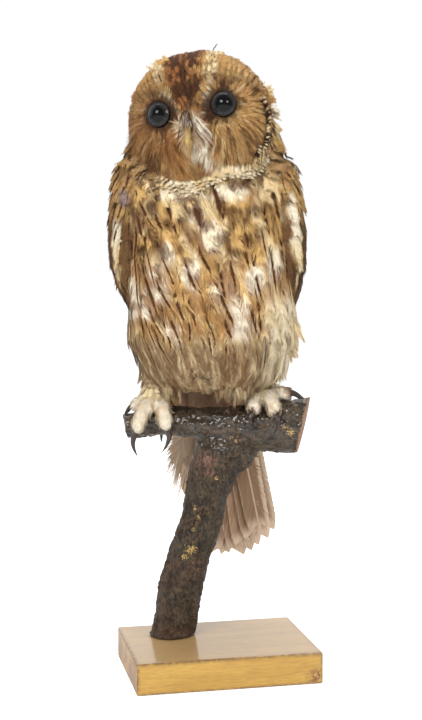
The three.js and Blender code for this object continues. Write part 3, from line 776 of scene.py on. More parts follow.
def look_disc(places, normals):
    h = to_head(places)
    side = np.where(h[:, 0] > CROWN_MID, 1, -1)
    dx, dz = h[:, 0] - side * EYE["x"], h[:, 2] - EYE["z"]
    eye = np.hypot(dx, dz)
    fine, cloud = patches(places, 2.2, 21), patches(places, 9, 22)
    turn = np.arctan2(dz, dx)
    ray = patches(np.stack([turn * 30, 0.12 * eye, side], 1), 1.6, 23)
    ground = mix(palette("gold"), palette("rufous"), 0.15 + 0.4 * cloud + 0.3 * ease(-5, -30, h[:, 0])) * (1.08, 1.0, 0.95)
    ground = mix(ground, palette("buff"), 0.35 * ease(0.45, 0.8, ray))
    over = ease(6, 14, dz) * ease(30, 10, np.abs(dx))
    ground = mix(ground, palette("buff"), 0.6 * over)
    ground = mix(ground, palette("cream"), 0.3 * ease(0.55, 0.9, fine) * ease(0.3, 0.7, ray))
    cheek = ease(8, 20, h[:, 0]) * ease(30, 10, np.abs(h[:, 2] + 6))
    ground = mix(ground, palette("buff"), 0.5 * cheek)
    ground = mix(ground, palette("rufous"), 0.3 * ease(0.5, 0.7, patches(places, 5, 25)))
    ground = mix(ground, palette("cream"), 0.35 * ease(0.72, 0.9, ray))
    ground = mix(ground, palette("chocolate"), 0.75 * ease(0.40, 0.12, ray))
    ground = mix(ground, palette("brown"), 0.45 * ease(-16, -36, h[:, 0]))
    low = ease(-2, -22, h[:, 2]) * ease(10, 24, np.abs(h[:, 0] - BILL_ROOT[0]))
    ground = mix(ground, palette("brown"), 0.4 * low)
    ground = mix(ground, palette("buff"), 0.5 * ease(0.7, 0.85, fine) * low)
    ground = mix(ground, palette("chocolate"), 0.55 * ease(0.3, 0.7, cloud) * ease(-6, -16, h[:, 2]) * ease(-22, -30, h[:, 0]))
    across = h[:, 0] - BILL_ROOT[0]
    middle = np.abs(across)
    below = np.clip(3 - h[:, 2], 0, 40)
    reach = np.where(across > 0, 10 + 0.28 * below, 8.0) + 5 * (ray - 0.5)
    inner = np.where(across > 0, 0.16 * below - 3, -9)
    beside = ease(reach, reach - 5, middle) * ease(8, -2, h[:, 2]) * ease(inner - 2, inner + 2, middle)
    beside *= ease(-33, -22, h[:, 2] + 0.3 * across)
    chin = ease(9, 5, middle) * ease(-20, -27, h[:, 2])
    brow_x = np.where(
        across > 0, np.interp(h[:, 2], [5, 9, 24, 37], [8.5, 11.5, 15.5, 21]),
        np.interp(h[:, 2], [5, 13, 20, 27], [-8, -11.5, -16, -22]))
    top = np.where(across > 0, 34, 28)
    brow = np.exp(-((h[:, 0] - brow_x) / 1.35) ** 2) * ease(-2, 6, h[:, 2]) * ease(top, top - 8, h[:, 2])
    strength = np.where(across > 0, 1.0, 0.55)
    pale = np.clip(strength * beside * (1 - chin) + 0.85 * brow, 0, 1)
    ground = mix(ground, palette("white"), pale * (0.25 + 0.75 * ease(0.2, 0.5, fine)))
    ground = mix(ground, mix(palette("brown"), palette("buff"), 0.5 * fine), 0.8 * chin)
    # A dark arc above each eye: a dark mark of the disc, deepened as painted shade under the brow.
    brow_mark_and_shade = np.exp(-((dx - side * 3) / 8) ** 2 - ((dz - 14) / 3.5) ** 2)
    corner = np.exp(-((dx + side * 10.5) / 3) ** 2 - ((dz + 4) / 6) ** 2)
    rim = ease(12.2, 9.6, eye - 2.4 * fine)
    dark = np.clip(0.8 * brow_mark_and_shade + 0.95 * corner + 0.85 * rim, 0, 0.95)
    ground = mix(ground, palette("chocolate"), dark)
    measure = disc_measure(h)
    edge = ease(0.84, 0.95, measure)
    ground = mix(ground, palette("chocolate"), 0.6 * edge * ease(0.35, 0.65, fine))
    length = BUILT["coat"].disc_length / MM * np.clip(0.42 + (eye - 10) / 26, 0.45, 1.05)
    length *= between(1, 0.5, ease(0.82, 0.97, measure))
    length = np.where(beside > 0.3, 9.0, length)
    return {
        "length": length, "half": 0.95 + 0.35 * edge, "low": -0.2, "high": 1.5 + 0.8 * beside,
        "ground": ground, "mark": palette("brown"), "droop": 40.0,
        "pattern": np.stack([0 * eye, 0.12 + 0 * eye, 0.15 * fine], 1),
    }


def look_collar(places, normals):
    """Cream with brown tips below the face, dark beads up its left side."""
    h = to_head(places)
    fine, cloud = patches(places, 2.4, 31), patches(places, 10, 32)
    high = ease(-28, -16, h[:, 2])
    ground = mix(palette("white"), palette("cream"), 0.3 + 0.7 * fine)
    ground = mix(ground, palette("buff"), 0.55 * ease(0.45, 0.8, cloud))
    ground = mix(ground, palette("buff"), 0.6 * high)
    left_end = ease(-33, -41, h[:, 0])
    ground = mix(ground, mix(palette("gold"), palette("brown"), 0.3 + 0.5 * cloud), 0.85 * left_end)
    bead = high * ease(1.04, 1.0, disc_measure(h)) * ease(0, 20, h[:, 0])
    ground = mix(ground, palette("chocolate"), 0.95 * bead * ease(0.35, 0.5, fine))
    return {
        "length": 7.4 - 3.0 * high, "half": 2.4 - 0.8 * high, "low": 0.3, "high": 3.8 - 1.0 * high,
        "ground": ground, "mark": palette("brown"), "droop": 40.0,
        "pattern": np.stack([0 * fine, 0 * fine, 0.15 + 0.75 * ease(0.3, 0.7, fine)], 1),
    }


def look_nape(places, normals):
    fleck, cloud = patches(places, 8, 41), patches(places, 22, 42)
    ground = mix(palette("buff"), palette("brown"), 0.25 + 0.5 * cloud)
    ground = mix(ground, palette("cream"), 0.5 * ease(0.6, 0.9, fleck))
    pattern = np.stack([0.3 + 0.15 * fleck, 0.5 + 0 * fleck, 0.2 + 0 * fleck], 1)
    return {
        "length": 19.0, "half": 5.2, "high": 4.2, "ground": ground,
        "mark": mix(palette("brown"), palette("chocolate"), 0.5), "pattern": pattern,
    }


def paint_breast(points):
    """Ground and bar colours of the breast and belly: soft marks drawn out down the body, and a painted shadow along
    its edge beside the wings.
    """
    x, z = points[:, 0] + 3, points[:, 2]
    lane = (x - 25) * np.exp(0.008 * (300 - z))

    def drawn(across, along, seed):
        return patches(np.stack([lane / across, 0 * x, z / along], 1), 1, seed)

    cloud, fleck, fine = patches(points * [1, 1, 0.6], 15, 52), drawn(5, 12, 51), drawn(1.7, 8, 53)
    upper = ease(300, 330, z + 14 * (cloud - 0.5))
    low = ease(264, 244, z + 8 * (cloud - 0.5))
    flank = ease(36, 50, x) * ease(300, 276, z) * ease(26, 0, points[:, 1])
    pale, dark = blotches(x, z, PALE_PATCHES), blotches(x, z, DARK_PATCHES)
    gold = mix(palette("buff"), palette("gold"), 0.5 * cloud)
    ground = mix(gold, palette("cream"), (0.6 + 0.05 * upper) * ease(0.40, 0.68, fleck))
    bright = mix(palette("white"), palette("cream"), 0.35 * upper) * 1.06
    ground = mix(ground, bright, 0.95 * ease(0.22, 0.6, pale + 0.3 * (fine - 0.5)))
    umber = mix(palette("rufous"), palette("umber"), 0.45)
    soft = ease(0.63, 0.80, drawn(4.2, 10, 55) + 0.12 * (fine - 0.5)) * (0.2 + 0.8 * upper)
    soft = np.maximum(soft, ease(0.5, 0.88, dark + 0.4 * (fine - 0.5)))
    ground = mix(ground * 1.05, umber, 0.7 * soft)
    ground = mix(ground, palette("chocolate"), 0.65 * ease(0.66, 0.92, soft * (0.55 + 0.6 * fine)))
    bar = patches(np.stack([x / 9 + 0.1 * z, 0 * x, z / 3.4], 1), 1, 59) * (1 - upper) * (1 - low)
    ground = mix(ground, mix(palette("rufous"), palette("gold"), 0.4), 0.85 * ease(0.44, 0.62, bar) * (1 - flank))
    shoulder = ease(352, 368, z) * ease(20, 34, np.abs(x))
    ground = mix(ground, umber, 0.4 * shoulder * ease(0.4, 0.65, cloud))
    neck = ease(38, 48, np.abs(x)) * ease(370, 380, z)
    ground = mix(ground, mix(palette("gold"), palette("brown"), 0.2 + 0.5 * fleck), 0.85 * neck)
    ash = mix(palette("ash"), palette("brown"), 0.3 + 0.2 * cloud + 0.5 * ease(0.5, 0.75, fine))
    ash = mix(ash, palette("cream"), 0.5 * ease(0.40, 0.18, fine))
    ground = mix(ground, ash, 0.95 * low)
    ground = mix(ground, mix(palette("cream"), palette("white"), fine), 0.85 * flank)
    # Painted shadow: the breast's outer edge beside the wings is browned, where the wings stand off the body.
    side = ease(51, 57, np.abs(x)) * ease(300, 312, z) * ease(368, 356, z)
    ground = mix(ground, palette("brown"), 0.5 * side)
    mark = mix(ground, mix(palette("gold"), palette("rufous"), 0.6), 0.75 - 0.5 * np.clip(low + flank, 0, 1))
    return ground, mark, upper, low, flank, fine


def belly_floor(x):
    """How low the belly's feathers may hang, in mm: higher between the legs."""
    return 217 + 14 * ease(17, 7, np.abs(x + 9)) + 8 * patches(np.stack([x, 0 * x, 0 * x], 1), 2.5, 58)


def look_breast(places, normals):
    tips = places + 20 * flow_body(places, normals)
    x, z = tips[:, 0] + 3, tips[:, 2]
    ground, mark, upper, low, flank, fine = paint_breast(tips)
    bars = 0.22 * (1 - 0.6 * upper) * (1 - 0.8 * low) * (1 - 0.7 * flank)
    pattern = np.stack([0 * x, bars, 0.12 * upper * ease(0.6, 0.9, fine)], 1)
    length = BUILT["coat"].breast_length / MM * (between(1.0, 0.85, upper) + 0.25 * low)
    length *= between(1, 0.6, ease(350, 372, z))
    length = np.minimum(length, np.maximum(places[:, 2] - belly_floor(x), 9))
    return {
        "length": length, "half": between(9.4, 8.0, upper) - 2.5 * low, "high": 3.8 + 5.0 * flank + 1.2 * low,
        "ground": ground, "mark": mark, "pattern": pattern, "rough": 1 + 2.0 * flank + 1.0 * low,
        "bend": 0.05 * length, "paint": paint_breast,
    }


def look_streaks(places, normals):
    """Single feathers over the rest that carry a dark shaft streak."""
    tips = places + 22 * flow_body(places, normals)
    x, z = tips[:, 0] + 3, tips[:, 2]
    ground, mark, upper, low, flank, fine = paint_breast(tips)
    wide, pick, turn = patches(places, 9, 54), patches(places, 2.0, 56), patches(places, 2.0, 57)
    blot = upper * ease(0.35, 0.8, wide)
    streak = between(0.38, 0.36 + 0.28 * wide, upper) * (1 - 0.4 * low) * (1 - 0.5 * flank)
    streak *= ease(0.25 + 0.3 * upper, 0.45 + 0.3 * upper, pick) * between(1, ease(378, 366, z), upper)
    length = between(38.0, 25.0, upper) * between(1, 0.75, low) * (0.75 + 0.45 * turn)
    length = np.minimum(length, np.maximum(places[:, 2] - belly_floor(x), 9))
    return {
        "length": length, "half": between(4.0, 4.0 + 1.6 * blot, upper), "low": 2.4, "high": 5.2,
        "ground": ground, "mark": mark, "pattern": np.stack([streak, 0.1 + 0 * x, 0 * x], 1),
        "bend": (0.06 + 0.3 * (turn - 0.5)) * length, "paint": paint_breast,
    }


def look_back(places, normals):
    fleck, cloud = patches(places, 9, 61), patches(places, 24, 62)
    ground = mix(palette("brown"), palette("buff"), 0.2 + 0.45 * cloud)
    ground = mix(ground, palette("ash"), 0.35 * fleck)
    vent = ease(268, 252, places[:, 2]) * ease(0.1, -0.3, normals[:, 1] + 0.5 * normals[:, 2])
    ground = mix(ground, mix(palette("rose"), palette("brown"), 0.3 * fleck), vent)
    thigh = ease(310, 290, places[:, 2]) * ease(48, 34, places[:, 1]) * ease(28, 38, np.abs(places[:, 0] + 3))
    ground = mix(ground, mix(palette("ash"), palette("buff"), fleck), 0.7 * thigh)
    vent = np.maximum(vent, thigh)
    pattern = np.stack([0.3 + 0.2 * fleck, 0.75 + 0 * fleck, 0.15 + 0 * fleck], 1) * (1 - vent)[:, None]
    return {
        "length": 27.0, "half": 7.6, "high": 3.8, "ground": ground,
        "mark": mix(palette("chocolate"), palette("brown"), 0.3), "pattern": pattern,
    }


def wing_chord(places):
    """-1 at a folded wing's leading edge and 1 at its trailing edge."""
    z = places[:, 2]
    spine = np.interp(-z, -WING_SPINE[:, 3], WING_SPINE[:, 2])
    return (places[:, 1] - spine) / (0.45 * np.interp(-z, -WING_SPINE[:, 3], WING_CHORD))


def paint_wing(points):
    """Brown at the leading edge with a painted shadow where the wing stands off the breast, then a pale band, then a
    dark strip, barred brown behind.
    """
    z = points[:, 2]
    chord = wing_chord(points)
    left = points[:, 0] > 0
    fleck, cloud = patches(points * [1, 1, 0.5], 4, 71), patches(points, 16, 72)
    ground = mix(palette("brown"), palette("buff"), 0.25 + 0.6 * cloud)
    ground = mix(ground, palette("rufous"), 0.35 * ease(0.55, 0.8, patches(points, 7, 74)))
    back = ease(0.1, 0.4, chord)
    spots = ease(0.7, 0.8, patches(points, 7, 73)) * back * ease(310, 330, z)
    ground = mix(ground, palette("cream"), 0.85 * spots)
    inner = np.interp(z, WING_BAND[0], WING_BAND[1]) + 0.05 * (fleck - 0.5) + 0.04 + 0.03 * ~left
    outer = np.interp(z, WING_BAND[0], WING_BAND[2]) + 0.06 * (fleck - 0.5)
    # Painted shadow: a darker brown band inside the pale band, where the folded wing stands off the breast.
    shade = ease(inner, inner - 0.05, chord) * ease(366, 356, z)
    ground = mix(ground, mix(palette("brown"), palette("chocolate"), 0.5), 0.9 * shade)
    strip = ease(outer + 0.02, outer + 0.07, chord) * ease(-0.1, -0.35, chord)
    strip *= ease(348, 338, z)
    ground = mix(ground, palette("chocolate"), 0.85 * strip)
    top = np.where(left, 376, 347)
    pale = ease(inner - 0.02, inner + 0.03, chord) * ease(outer + 0.03, outer - 0.02, chord) * ease(top, top - 9, z)
    cream = mix(palette("cream"), palette("white"), 0.2 + 0.6 * ease(322, 336, z)) * 0.95
    cream = mix(cream, mix(palette("buff"), palette("brown"), 0.4), 0.75 * ease(0.6, 0.8, cloud + 0.2 * fleck) * ease(336, 318, z))
    ground = mix(ground, cream, 0.95 * pale)
    lilac = blotches(points[:, 0], z, WING_SMUDGE) * (points[:, 1] < 0)
    ground = mix(ground, (0.27, 0.20, 0.185), 0.8 * ease(0.3, 0.6, lilac))
    mark = mix(mix(palette("chocolate"), palette("brown"), 0.4), ground, 0.9 * pale + 0.3 * shade)
    return ground, mark, pale, back


def look_wing(places, normals):
    z = places[:, 2]
    ground, mark, pale, back = paint_wing(places)
    fleck, cloud = patches(places, 9, 71), patches(places, 16, 72)
    small = ease(340, 372, z)
    streak = (0.05 + 0.12 * ease(0.5, 0.8, fleck)) * (1 - pale)
    under = ease(312, 296, z)
    return {
        "length": between(30.0, 14.0, small) - 8 * under, "half": between(8.0, 5.0, small) - 2 * under,
        "high": between(3.2, 2.8, small) - 1.8 * under, "ground": ground, "mark": mark,
        "pattern": np.stack([streak, 0.15 + 0.6 * back, 0.2 * ease(0.6, 0.9, cloud) * (1 - pale)], 1),
        "paint": paint_wing,
    }


def look_coverts(places, normals):
    cloud = patches(places, 16, 81)
    front = ease(0.3, -0.2, normals[:, 1])
    ground = mix(mix(palette("brown"), palette("buff"), 0.3 + 0.4 * cloud), palette("rose"), 0.95 * front)
    pattern = np.stack([0.1 - 0.1 * front, 0.6 - 0.6 * front, 0.1 - 0.1 * front], 1)
    return {
        "length": 30.0, "half": 9.0, "high": 2.4, "ground": ground,
        "mark": mix(mix(palette("brown"), palette("chocolate"), 0.4), ground, front), "pattern": pattern,
    }


def look_thigh(places, normals):
    cloud = patches(places, 9, 91)
    ground = mix(palette("cream"), palette("ash"), 0.25 * cloud + 0.6 * ease(226, 240, places[:, 2]))
    return {
        "length": 12.0, "half": 3.0, "high": 3.4, "ground": ground, "mark": palette("brown"),
        "pattern": np.stack([0 * cloud, 0.1 + 0 * cloud, 0 * cloud], 1), "droop": 16.0,
    }


def look_foot(places, normals):
    """Cream plush that ends in short brown scutes at the claws."""
    fleck = patches(places, 3, 95)
    claw = np.linalg.norm(places[:, None] - BUILT["claw_roots"][None], axis=2).min(axis=1)
    end = ease(7.5, 4.5, claw + 1.5 * fleck)
    ground = mix(palette("white"), palette("cream"), 0.2 * fleck) * (1.08, 1.08, 1.12)
    ground = mix(ground, palette("buff"), 0.4 * ease(0.8, 0.95, fleck))
    ground = mix(ground, mix(palette("brown"), palette("chocolate"), 0.3), 0.9 * end)
    return {
        "length": BUILT["coat"].foot_length / MM * (1 - 0.6 * end), "half": 1.7 - 0.5 * end,
        "low": 0.2, "high": 2.2 - 1.2 * end, "rough": 0.6, "ground": ground, "mark": palette("brown"),
        "pattern": np.zeros(3), "droop": 9.0,
    }


def look_tarsus(places, normals):
    look = look_foot(places, normals)
    look.update(length=13.0, half=2.2, high=3.4, droop=16.0)
    return look


# ---------------------------------------------------------------- materials
class Graph:
    """Short calls for building a node tree."""

    def __init__(self, tree):
        self.tree = tree

    def add(self, kind, *inputs, out=0, **settings):
        """A node with settings; inputs are values or sockets in order, None leaving one alone."""
        node = self.tree.nodes.new("ShaderNode" + kind)
        for key, value in settings.items():
            setattr(node, key, value)
        for k, value in enumerate(inputs):
            if value is not None:
                self.put(node.inputs[k], value)
        return node.outputs[out]

    def put(self, socket, value):
        if isinstance(value, bpy.types.NodeSocket):
            self.tree.links.new(value, socket)
        elif hasattr(value, "__len__") and len(value) == 3 and len(socket.default_value) == 4:
            socket.default_value = (*value, 1)
        else:
            socket.default_value = value

    def math(self, operation, *values):
        return self.add("Math", *values, operation=operation)

    def span(self, value, low, high, first=0.0, last=1.0):
        """value from low..high to first..last, eased and held beyond."""
        return self.add(
            "MapRange", value, low, high, first, last, interpolation_type="SMOOTHSTEP", clamp=True,
        )

    def blend(self, share, first, second, blend_type="MIX"):
        node = self.tree.nodes.new("ShaderNodeMix")
        node.data_type, node.blend_type = "RGBA", blend_type
        for key, value in zip((0, 6, 7), (share, first, second)):
            self.put(node.inputs[key], value)
        return node.outputs[2]

    def noise(self, where, scale, detail=2.0, out=0, distortion=0.0):
        node = self.tree.nodes.new("ShaderNodeTexNoise")
        node.inputs["Distortion"].default_value = distortion
        self.put(node.inputs["Vector"], where)
        node.inputs["Scale"].default_value = scale
        node.inputs["Detail"].default_value = detail
        return node.outputs[out]

    def stretched(self, where, x, y, z, turn=(0, 0, 0)):
        return self.add("Mapping", where, None, turn, (x, y, z))

    def scaled(self, colour_socket, value):
        """A colour times a plain value."""
        return self.add("VectorMath", colour_socket, None, None, value, operation="SCALE")


def node_group(name, inputs, outputs, build):
    """A shader node group. inputs are (name, socket kind, default), outputs (name, kind)."""
    tree = bpy.data.node_groups.new(name, "ShaderNodeTree")
    for title, kind, default in inputs:
        socket = tree.interface.new_socket(title, in_out="INPUT", socket_type="NodeSocket" + kind)
        socket.default_value = (*default, 1) if kind == "Color" else default
    for title, kind in outputs:
        tree.interface.new_socket(title, in_out="OUTPUT", socket_type="NodeSocket" + kind)
    source = tree.nodes.new("NodeGroupInput")
    sink = tree.nodes.new("NodeGroupOutput")
    results = build(Graph(tree), {s.name: s for s in source.outputs})
    for title, socket in results.items():
        tree.links.new(socket, sink.inputs[title])
    return tree


def use_group(graph, name, **values):
    node = graph.tree.nodes.new("ShaderNodeGroup")
    node.node_tree = bpy.data.node_groups[name]
    for title, value in values.items():
        graph.put(node.inputs[title.replace("_", " ")], value)
    return node.outputs


def feather_group():
    """Markings of one feather, on its own vane map: u from root to tip, v across, and a painted shade over its root
    half.
    """

    def build(g, given):
        spot = g.add("SeparateXYZ", g.add("UVMap", uv_map="vane"))
        u = spot
        v = spot.node.outputs[1]
        pattern = g.add("SeparateXYZ", g.add("Attribute", attribute_name="pattern", out=1))
        streak, bars, tip = pattern, pattern.node.outputs[1], pattern.node.outputs[2]
        tint = g.add("Attribute", attribute_name="tint", out=2)
        across = g.math("ABSOLUTE", g.math("MULTIPLY_ADD", v, 2.0, -1.0))
        barb = g.math("MULTIPLY_ADD", across, -0.22, u)
        lines = g.add("CombineXYZ", g.math("MULTIPLY", barb, given["Barbs"]), g.math("MULTIPLY", across, 1.2), g.math("MULTIPLY", tint, 91.0))
        fine = g.noise(lines, 1.0, 2.0)
        broad = g.noise(g.add("CombineXYZ", g.math("MULTIPLY", u, 2.2), g.math("MULTIPLY", v, 2.4), g.math("MULTIPLY", tint, 53.0)), 1.0, 1.0)
        wobble = g.math("MULTIPLY_ADD", fine, 0.5, -0.25)
        width = g.math("MULTIPLY", streak, g.math("MULTIPLY_ADD", broad, 1.1, 0.35))
        width = g.math("MULTIPLY", width, g.span(u, 1.02, 0.74, 0.1, 1.0))
        reach = g.math("DIVIDE", g.math("ADD", across, wobble), g.math("MAXIMUM", width, 0.01))
        present = g.span(streak, 0.0, 0.06)
        shaft = g.math("MULTIPLY", g.span(reach, 1.3, 0.5), present)
        halo = g.math("MULTIPLY", g.span(reach, 2.6, 1.0, 0.0, 0.7), present)
        wave = g.math("SINE", g.math("MULTIPLY_ADD", g.math("MULTIPLY_ADD", broad, 0.35, barb), given["Bar count"], g.math("MULTIPLY", tint, 3.0)))
        barred = g.math("MULTIPLY", g.span(g.math("MULTIPLY_ADD", wobble, 2.2, wave), -0.15, 0.75), bars)
        ends = g.math("MULTIPLY", g.span(g.math("ADD", barb, wobble), 0.66, 0.86), tip)
        colour_now = g.blend(barred, given["Ground"], given["Mark"])
        fringe = g.math("MAXIMUM", g.span(g.math("MULTIPLY_ADD", wobble, 0.5, across), 0.70, 0.95), g.span(u, 0.90, 0.97))
        fringe = g.math("MAXIMUM", fringe, g.span(across, 0.07, 0.03))
        colour_now = g.blend(g.math("MULTIPLY", fringe, given["Edge"]), colour_now, given["Pale"])
        colour_now = g.blend(halo, colour_now, given["Mark"])
        colour_now = g.blend(g.math("MAXIMUM", shaft, ends), colour_now, given["Shaft"])
        light = g.math("MULTIPLY_ADD", fine, 0.9, 0.58)
        # Painted shade: the root half of each feather is darkened down to Root, for the shade of the feathers lying
        # over it.
        light = g.math("MULTIPLY", light, g.span(u, 0.0, 0.5, given["Root"], 1.0))
        light = g.math("MULTIPLY", light, g.math("MULTIPLY_ADD", tint, 0.18, 0.91))
        return {"Color": g.scaled(colour_now, light), "Height": fine}

    return node_group(
        "Feather markings",
        [("Ground", "Color", (1, 1, 1)), ("Mark", "Color", (0, 0, 0)), ("Shaft", "Color", (0, 0, 0)),
         ("Barbs", "Float", 26.0), ("Bar count", "Float", 20.0), ("Root", "Float", 0.62),
         ("Edge", "Float", 0.0), ("Pale", "Color", (1, 1, 1))],
        [("Color", "Color"), ("Height", "Float")], build,
    )


def principled(name, build):
    """A material whose build(graph, shader) sets up its one Principled shader."""
    material = bpy.data.materials.new(name)
    material.use_nodes = True
    build(Graph(material.node_tree), material.node_tree.nodes["Principled BSDF"])
    return material


def set_shader(graph, shader, **values):
    for title, value in values.items():
        graph.put(shader.inputs[title.replace("_", " ")], value)


def bump(graph, shader, height, depth, strength=1.0):
    """depth is the real relief in metres."""
    node = graph.tree.nodes.new("ShaderNodeBump")
    node.inputs["Strength"].default_value = strength
    node.inputs["Distance"].default_value = depth
    graph.put(node.inputs["Height"], height)
    graph.put(shader.inputs["Normal"], node.outputs[0])


# root is how bright each feather's root stays under its painted shade; 1 leaves it unshaded.
def plumage_material(name, barbs=26.0, bar_count=20.0, root=0.62, edge=0.0, shaft="chocolate"):
    def build(g, shader):
        ground = g.add("Attribute", attribute_name="ground")
        mark = g.add("Attribute", attribute_name="mark")
        out = use_group(g, "Feather markings", Ground=ground, Mark=mark, Shaft=palette(shaft), Barbs=barbs, Bar_count=bar_count, Root=root, Edge=edge, Pale=palette("pale_edge"))
        set_shader(g, shader, Base_Color=out["Color"], Roughness=0.72, Specular_IOR_Level=0.14)
        bump(g, shader, out["Height"], 0.00025, 0.5)

    return principled(name, build)


def skin_material():
    def build(g, shader):
        where = g.add("TexCoord", out=3)
        ground = g.add("Attribute", attribute_name="ground")
        pimples = g.noise(where, 900.0, 3.0)
        set_shader(g, shader, Base_Color=g.scaled(ground, g.span(pimples, 0.3, 0.75, 0.5, 0.8)), Roughness=0.8, Specular_IOR_Level=0.2)
        bump(g, shader, pimples, 0.0004)

    return principled("Owl skin", build)


def glass_eye_material():
    def build(g, shader):
        angle = g.add("Attribute", attribute_name="iris", out=2)
        where = g.add("TexCoord", out=3)
        fibres = g.noise(where, 700.0, 3.0)
        iris = g.blend(g.span(fibres, 0.35, 0.7), (0.012, 0.010, 0.009), (0.030, 0.026, 0.024))
        # Painted reflection: a grey-blue ring near the edge of the glass stands for the bluish-grey sheen there.
        painted_sheen_ring = g.blend(g.span(fibres, 0.35, 0.7), (0.018, 0.021, 0.024), (0.050, 0.058, 0.065))
        tone = g.blend(g.span(angle, 0.52, 0.58), (0.001, 0.001, 0.001), iris)
        tone = g.blend(g.span(angle, 0.63, 0.70), tone, painted_sheen_ring)
        tone = g.blend(g.span(angle, 0.735, 0.775), tone, (0.002, 0.002, 0.002))
        set_shader(g, shader, Base_Color=tone, Roughness=0.03, IOR=1.5, Specular_IOR_Level=0.33)

    return principled("Eye glass", build)


def horn_material(name, base, tip, gloss):
    """Horn with lengthwise growth lines, darker where the along attribute nears 1."""

    def build(g, shader):
        along = g.add("Attribute", attribute_name="along", out=2)
        where = g.add("TexCoord", out=3)
        lines = g.noise(g.stretched(where, 1, 1, 0.25), 1400.0, 3.0)
        cloud = g.noise(where, 220.0, 3.0)
        tone = g.blend(g.span(along, 0.45, 1.0), base, tip)
        tone = g.scaled(tone, g.span(cloud, 0.3, 0.72, 0.72, 1.12))
        tone = g.scaled(tone, g.span(lines, 0.3, 0.7, 0.85, 1.08))
        set_shader(g, shader, Base_Color=tone, Roughness=g.span(cloud, 0.3, 0.7, gloss, gloss + 0.16), Coat_Weight=0.3)
        bump(g, shader, lines, 0.00012)

    return principled(name, build)


def lid_material():
    def build(g, shader):
        where = g.add("TexCoord", out=3)
        folds = g.noise(where, 1500.0, 4.0)
        set_shader(g, shader, Base_Color=g.scaled(palette("lid"), g.span(folds, 0.3, 0.7, 0.6, 1.6)), Roughness=0.55)
        bump(g, shader, folds, 0.0002)

    return principled("Eyelid skin", build)


def bark_material():
    def build(g, shader):
        where = g.add("TexCoord", out=3)
        height_now = g.add("SeparateXYZ", where).node.outputs[2]
        varnish = g.span(height_now, 0.155, 0.190, 0.12, 1.0)
        lumps = g.noise(where, 170.0, 5.0)
        grain = g.noise(g.stretched(where, 1, 1, 0.6), 520.0, 5.0)
        fine = g.noise(where, 1300.0, 4.0)
        broad = g.noise(where, 34.0, 4.0)
        on_perch = g.span(height_now, 0.150, 0.175)
        post_wrinkle = g.noise(g.stretched(where, 1, 1, 0.3), 640.0, 4.0, distortion=0.6)
        perch_wrinkle = g.noise(g.stretched(where, 0.3, 1, 1), 560.0, 4.0, distortion=0.8)
        wrinkle = g.math("ADD", g.math("MULTIPLY", on_perch, perch_wrinkle), g.math("MULTIPLY", g.math("SUBTRACT", 1.0, on_perch), post_wrinkle))
        cracks = g.span(g.math("ABSOLUTE", g.math("ADD", wrinkle, -0.5)), 0.0, 0.035)
        tone = g.blend(g.span(grain, 0.38, 0.62), (0.016, 0.011, 0.007), palette("bark"))
        tone = g.blend(g.span(broad, 0.42, 0.62, 0.0, 0.3), tone, (0.080, 0.072, 0.045))
        low = g.math("MULTIPLY", g.span(height_now, 0.13, 0.05), g.span(broad, 0.55, 0.4))
        tone = g.blend(g.math("MULTIPLY", low, 0.6), tone, (0.090, 0.050, 0.033))
        tone = g.scaled(tone, g.span(lumps, 0.3, 0.7, 0.6, 1.5))
        tone = g.scaled(tone, g.math("MULTIPLY_ADD", cracks, 0.6, 0.5))
        tone = g.blend(g.span(fine, 0.60, 0.72, 0.0, 0.45), tone, (0.26, 0.23, 0.17))
        scar = g.math("MULTIPLY", g.add("Attribute", attribute_name="scar", out=2), g.span(grain, 0.35, 0.6))
        tone = g.blend(scar, tone, (0.26, 0.13, 0.085))
        lichen = g.math("MULTIPLY_ADD", g.noise(where, 900.0, 3.0), 2.4, g.add("Attribute", attribute_name="lichen", out=2))
        tone = g.blend(g.span(lichen, 1.98, 2.12), tone, (0.60, 0.40, 0.14))
        tone = g.scaled(tone, 1.13)
        relief = g.math("MULTIPLY_ADD", lumps, 0.16, g.math("MULTIPLY_ADD", grain, 0.35, g.math("MULTIPLY_ADD", fine, 0.2, g.math("MULTIPLY", wrinkle, 0.9))))
        set_shader(g, shader, Base_Color=tone, Roughness=g.span(grain, 0.3, 0.7, 0.40, 0.7), Coat_Weight=varnish, Coat_Roughness=0.08, Specular_IOR_Level=0.35)
        bump(g, shader, relief, 0.0040)

    return principled("Varnished bark", build)


def cut_wood_material():
    def build(g, shader):
        where = g.add("TexCoord", out=3)
        rings = g.noise(g.stretched(where, 1, 1, 1), 130.0, 5.0)
        tone = g.blend(g.span(rings, 0.3, 0.7), (0.29, 0.145, 0.075), (0.45, 0.265, 0.15))
        set_shader(g, shader, Base_Color=tone, Roughness=0.6)
        bump(g, shader, rings, 0.0006)

    return principled("Cut wood", build)


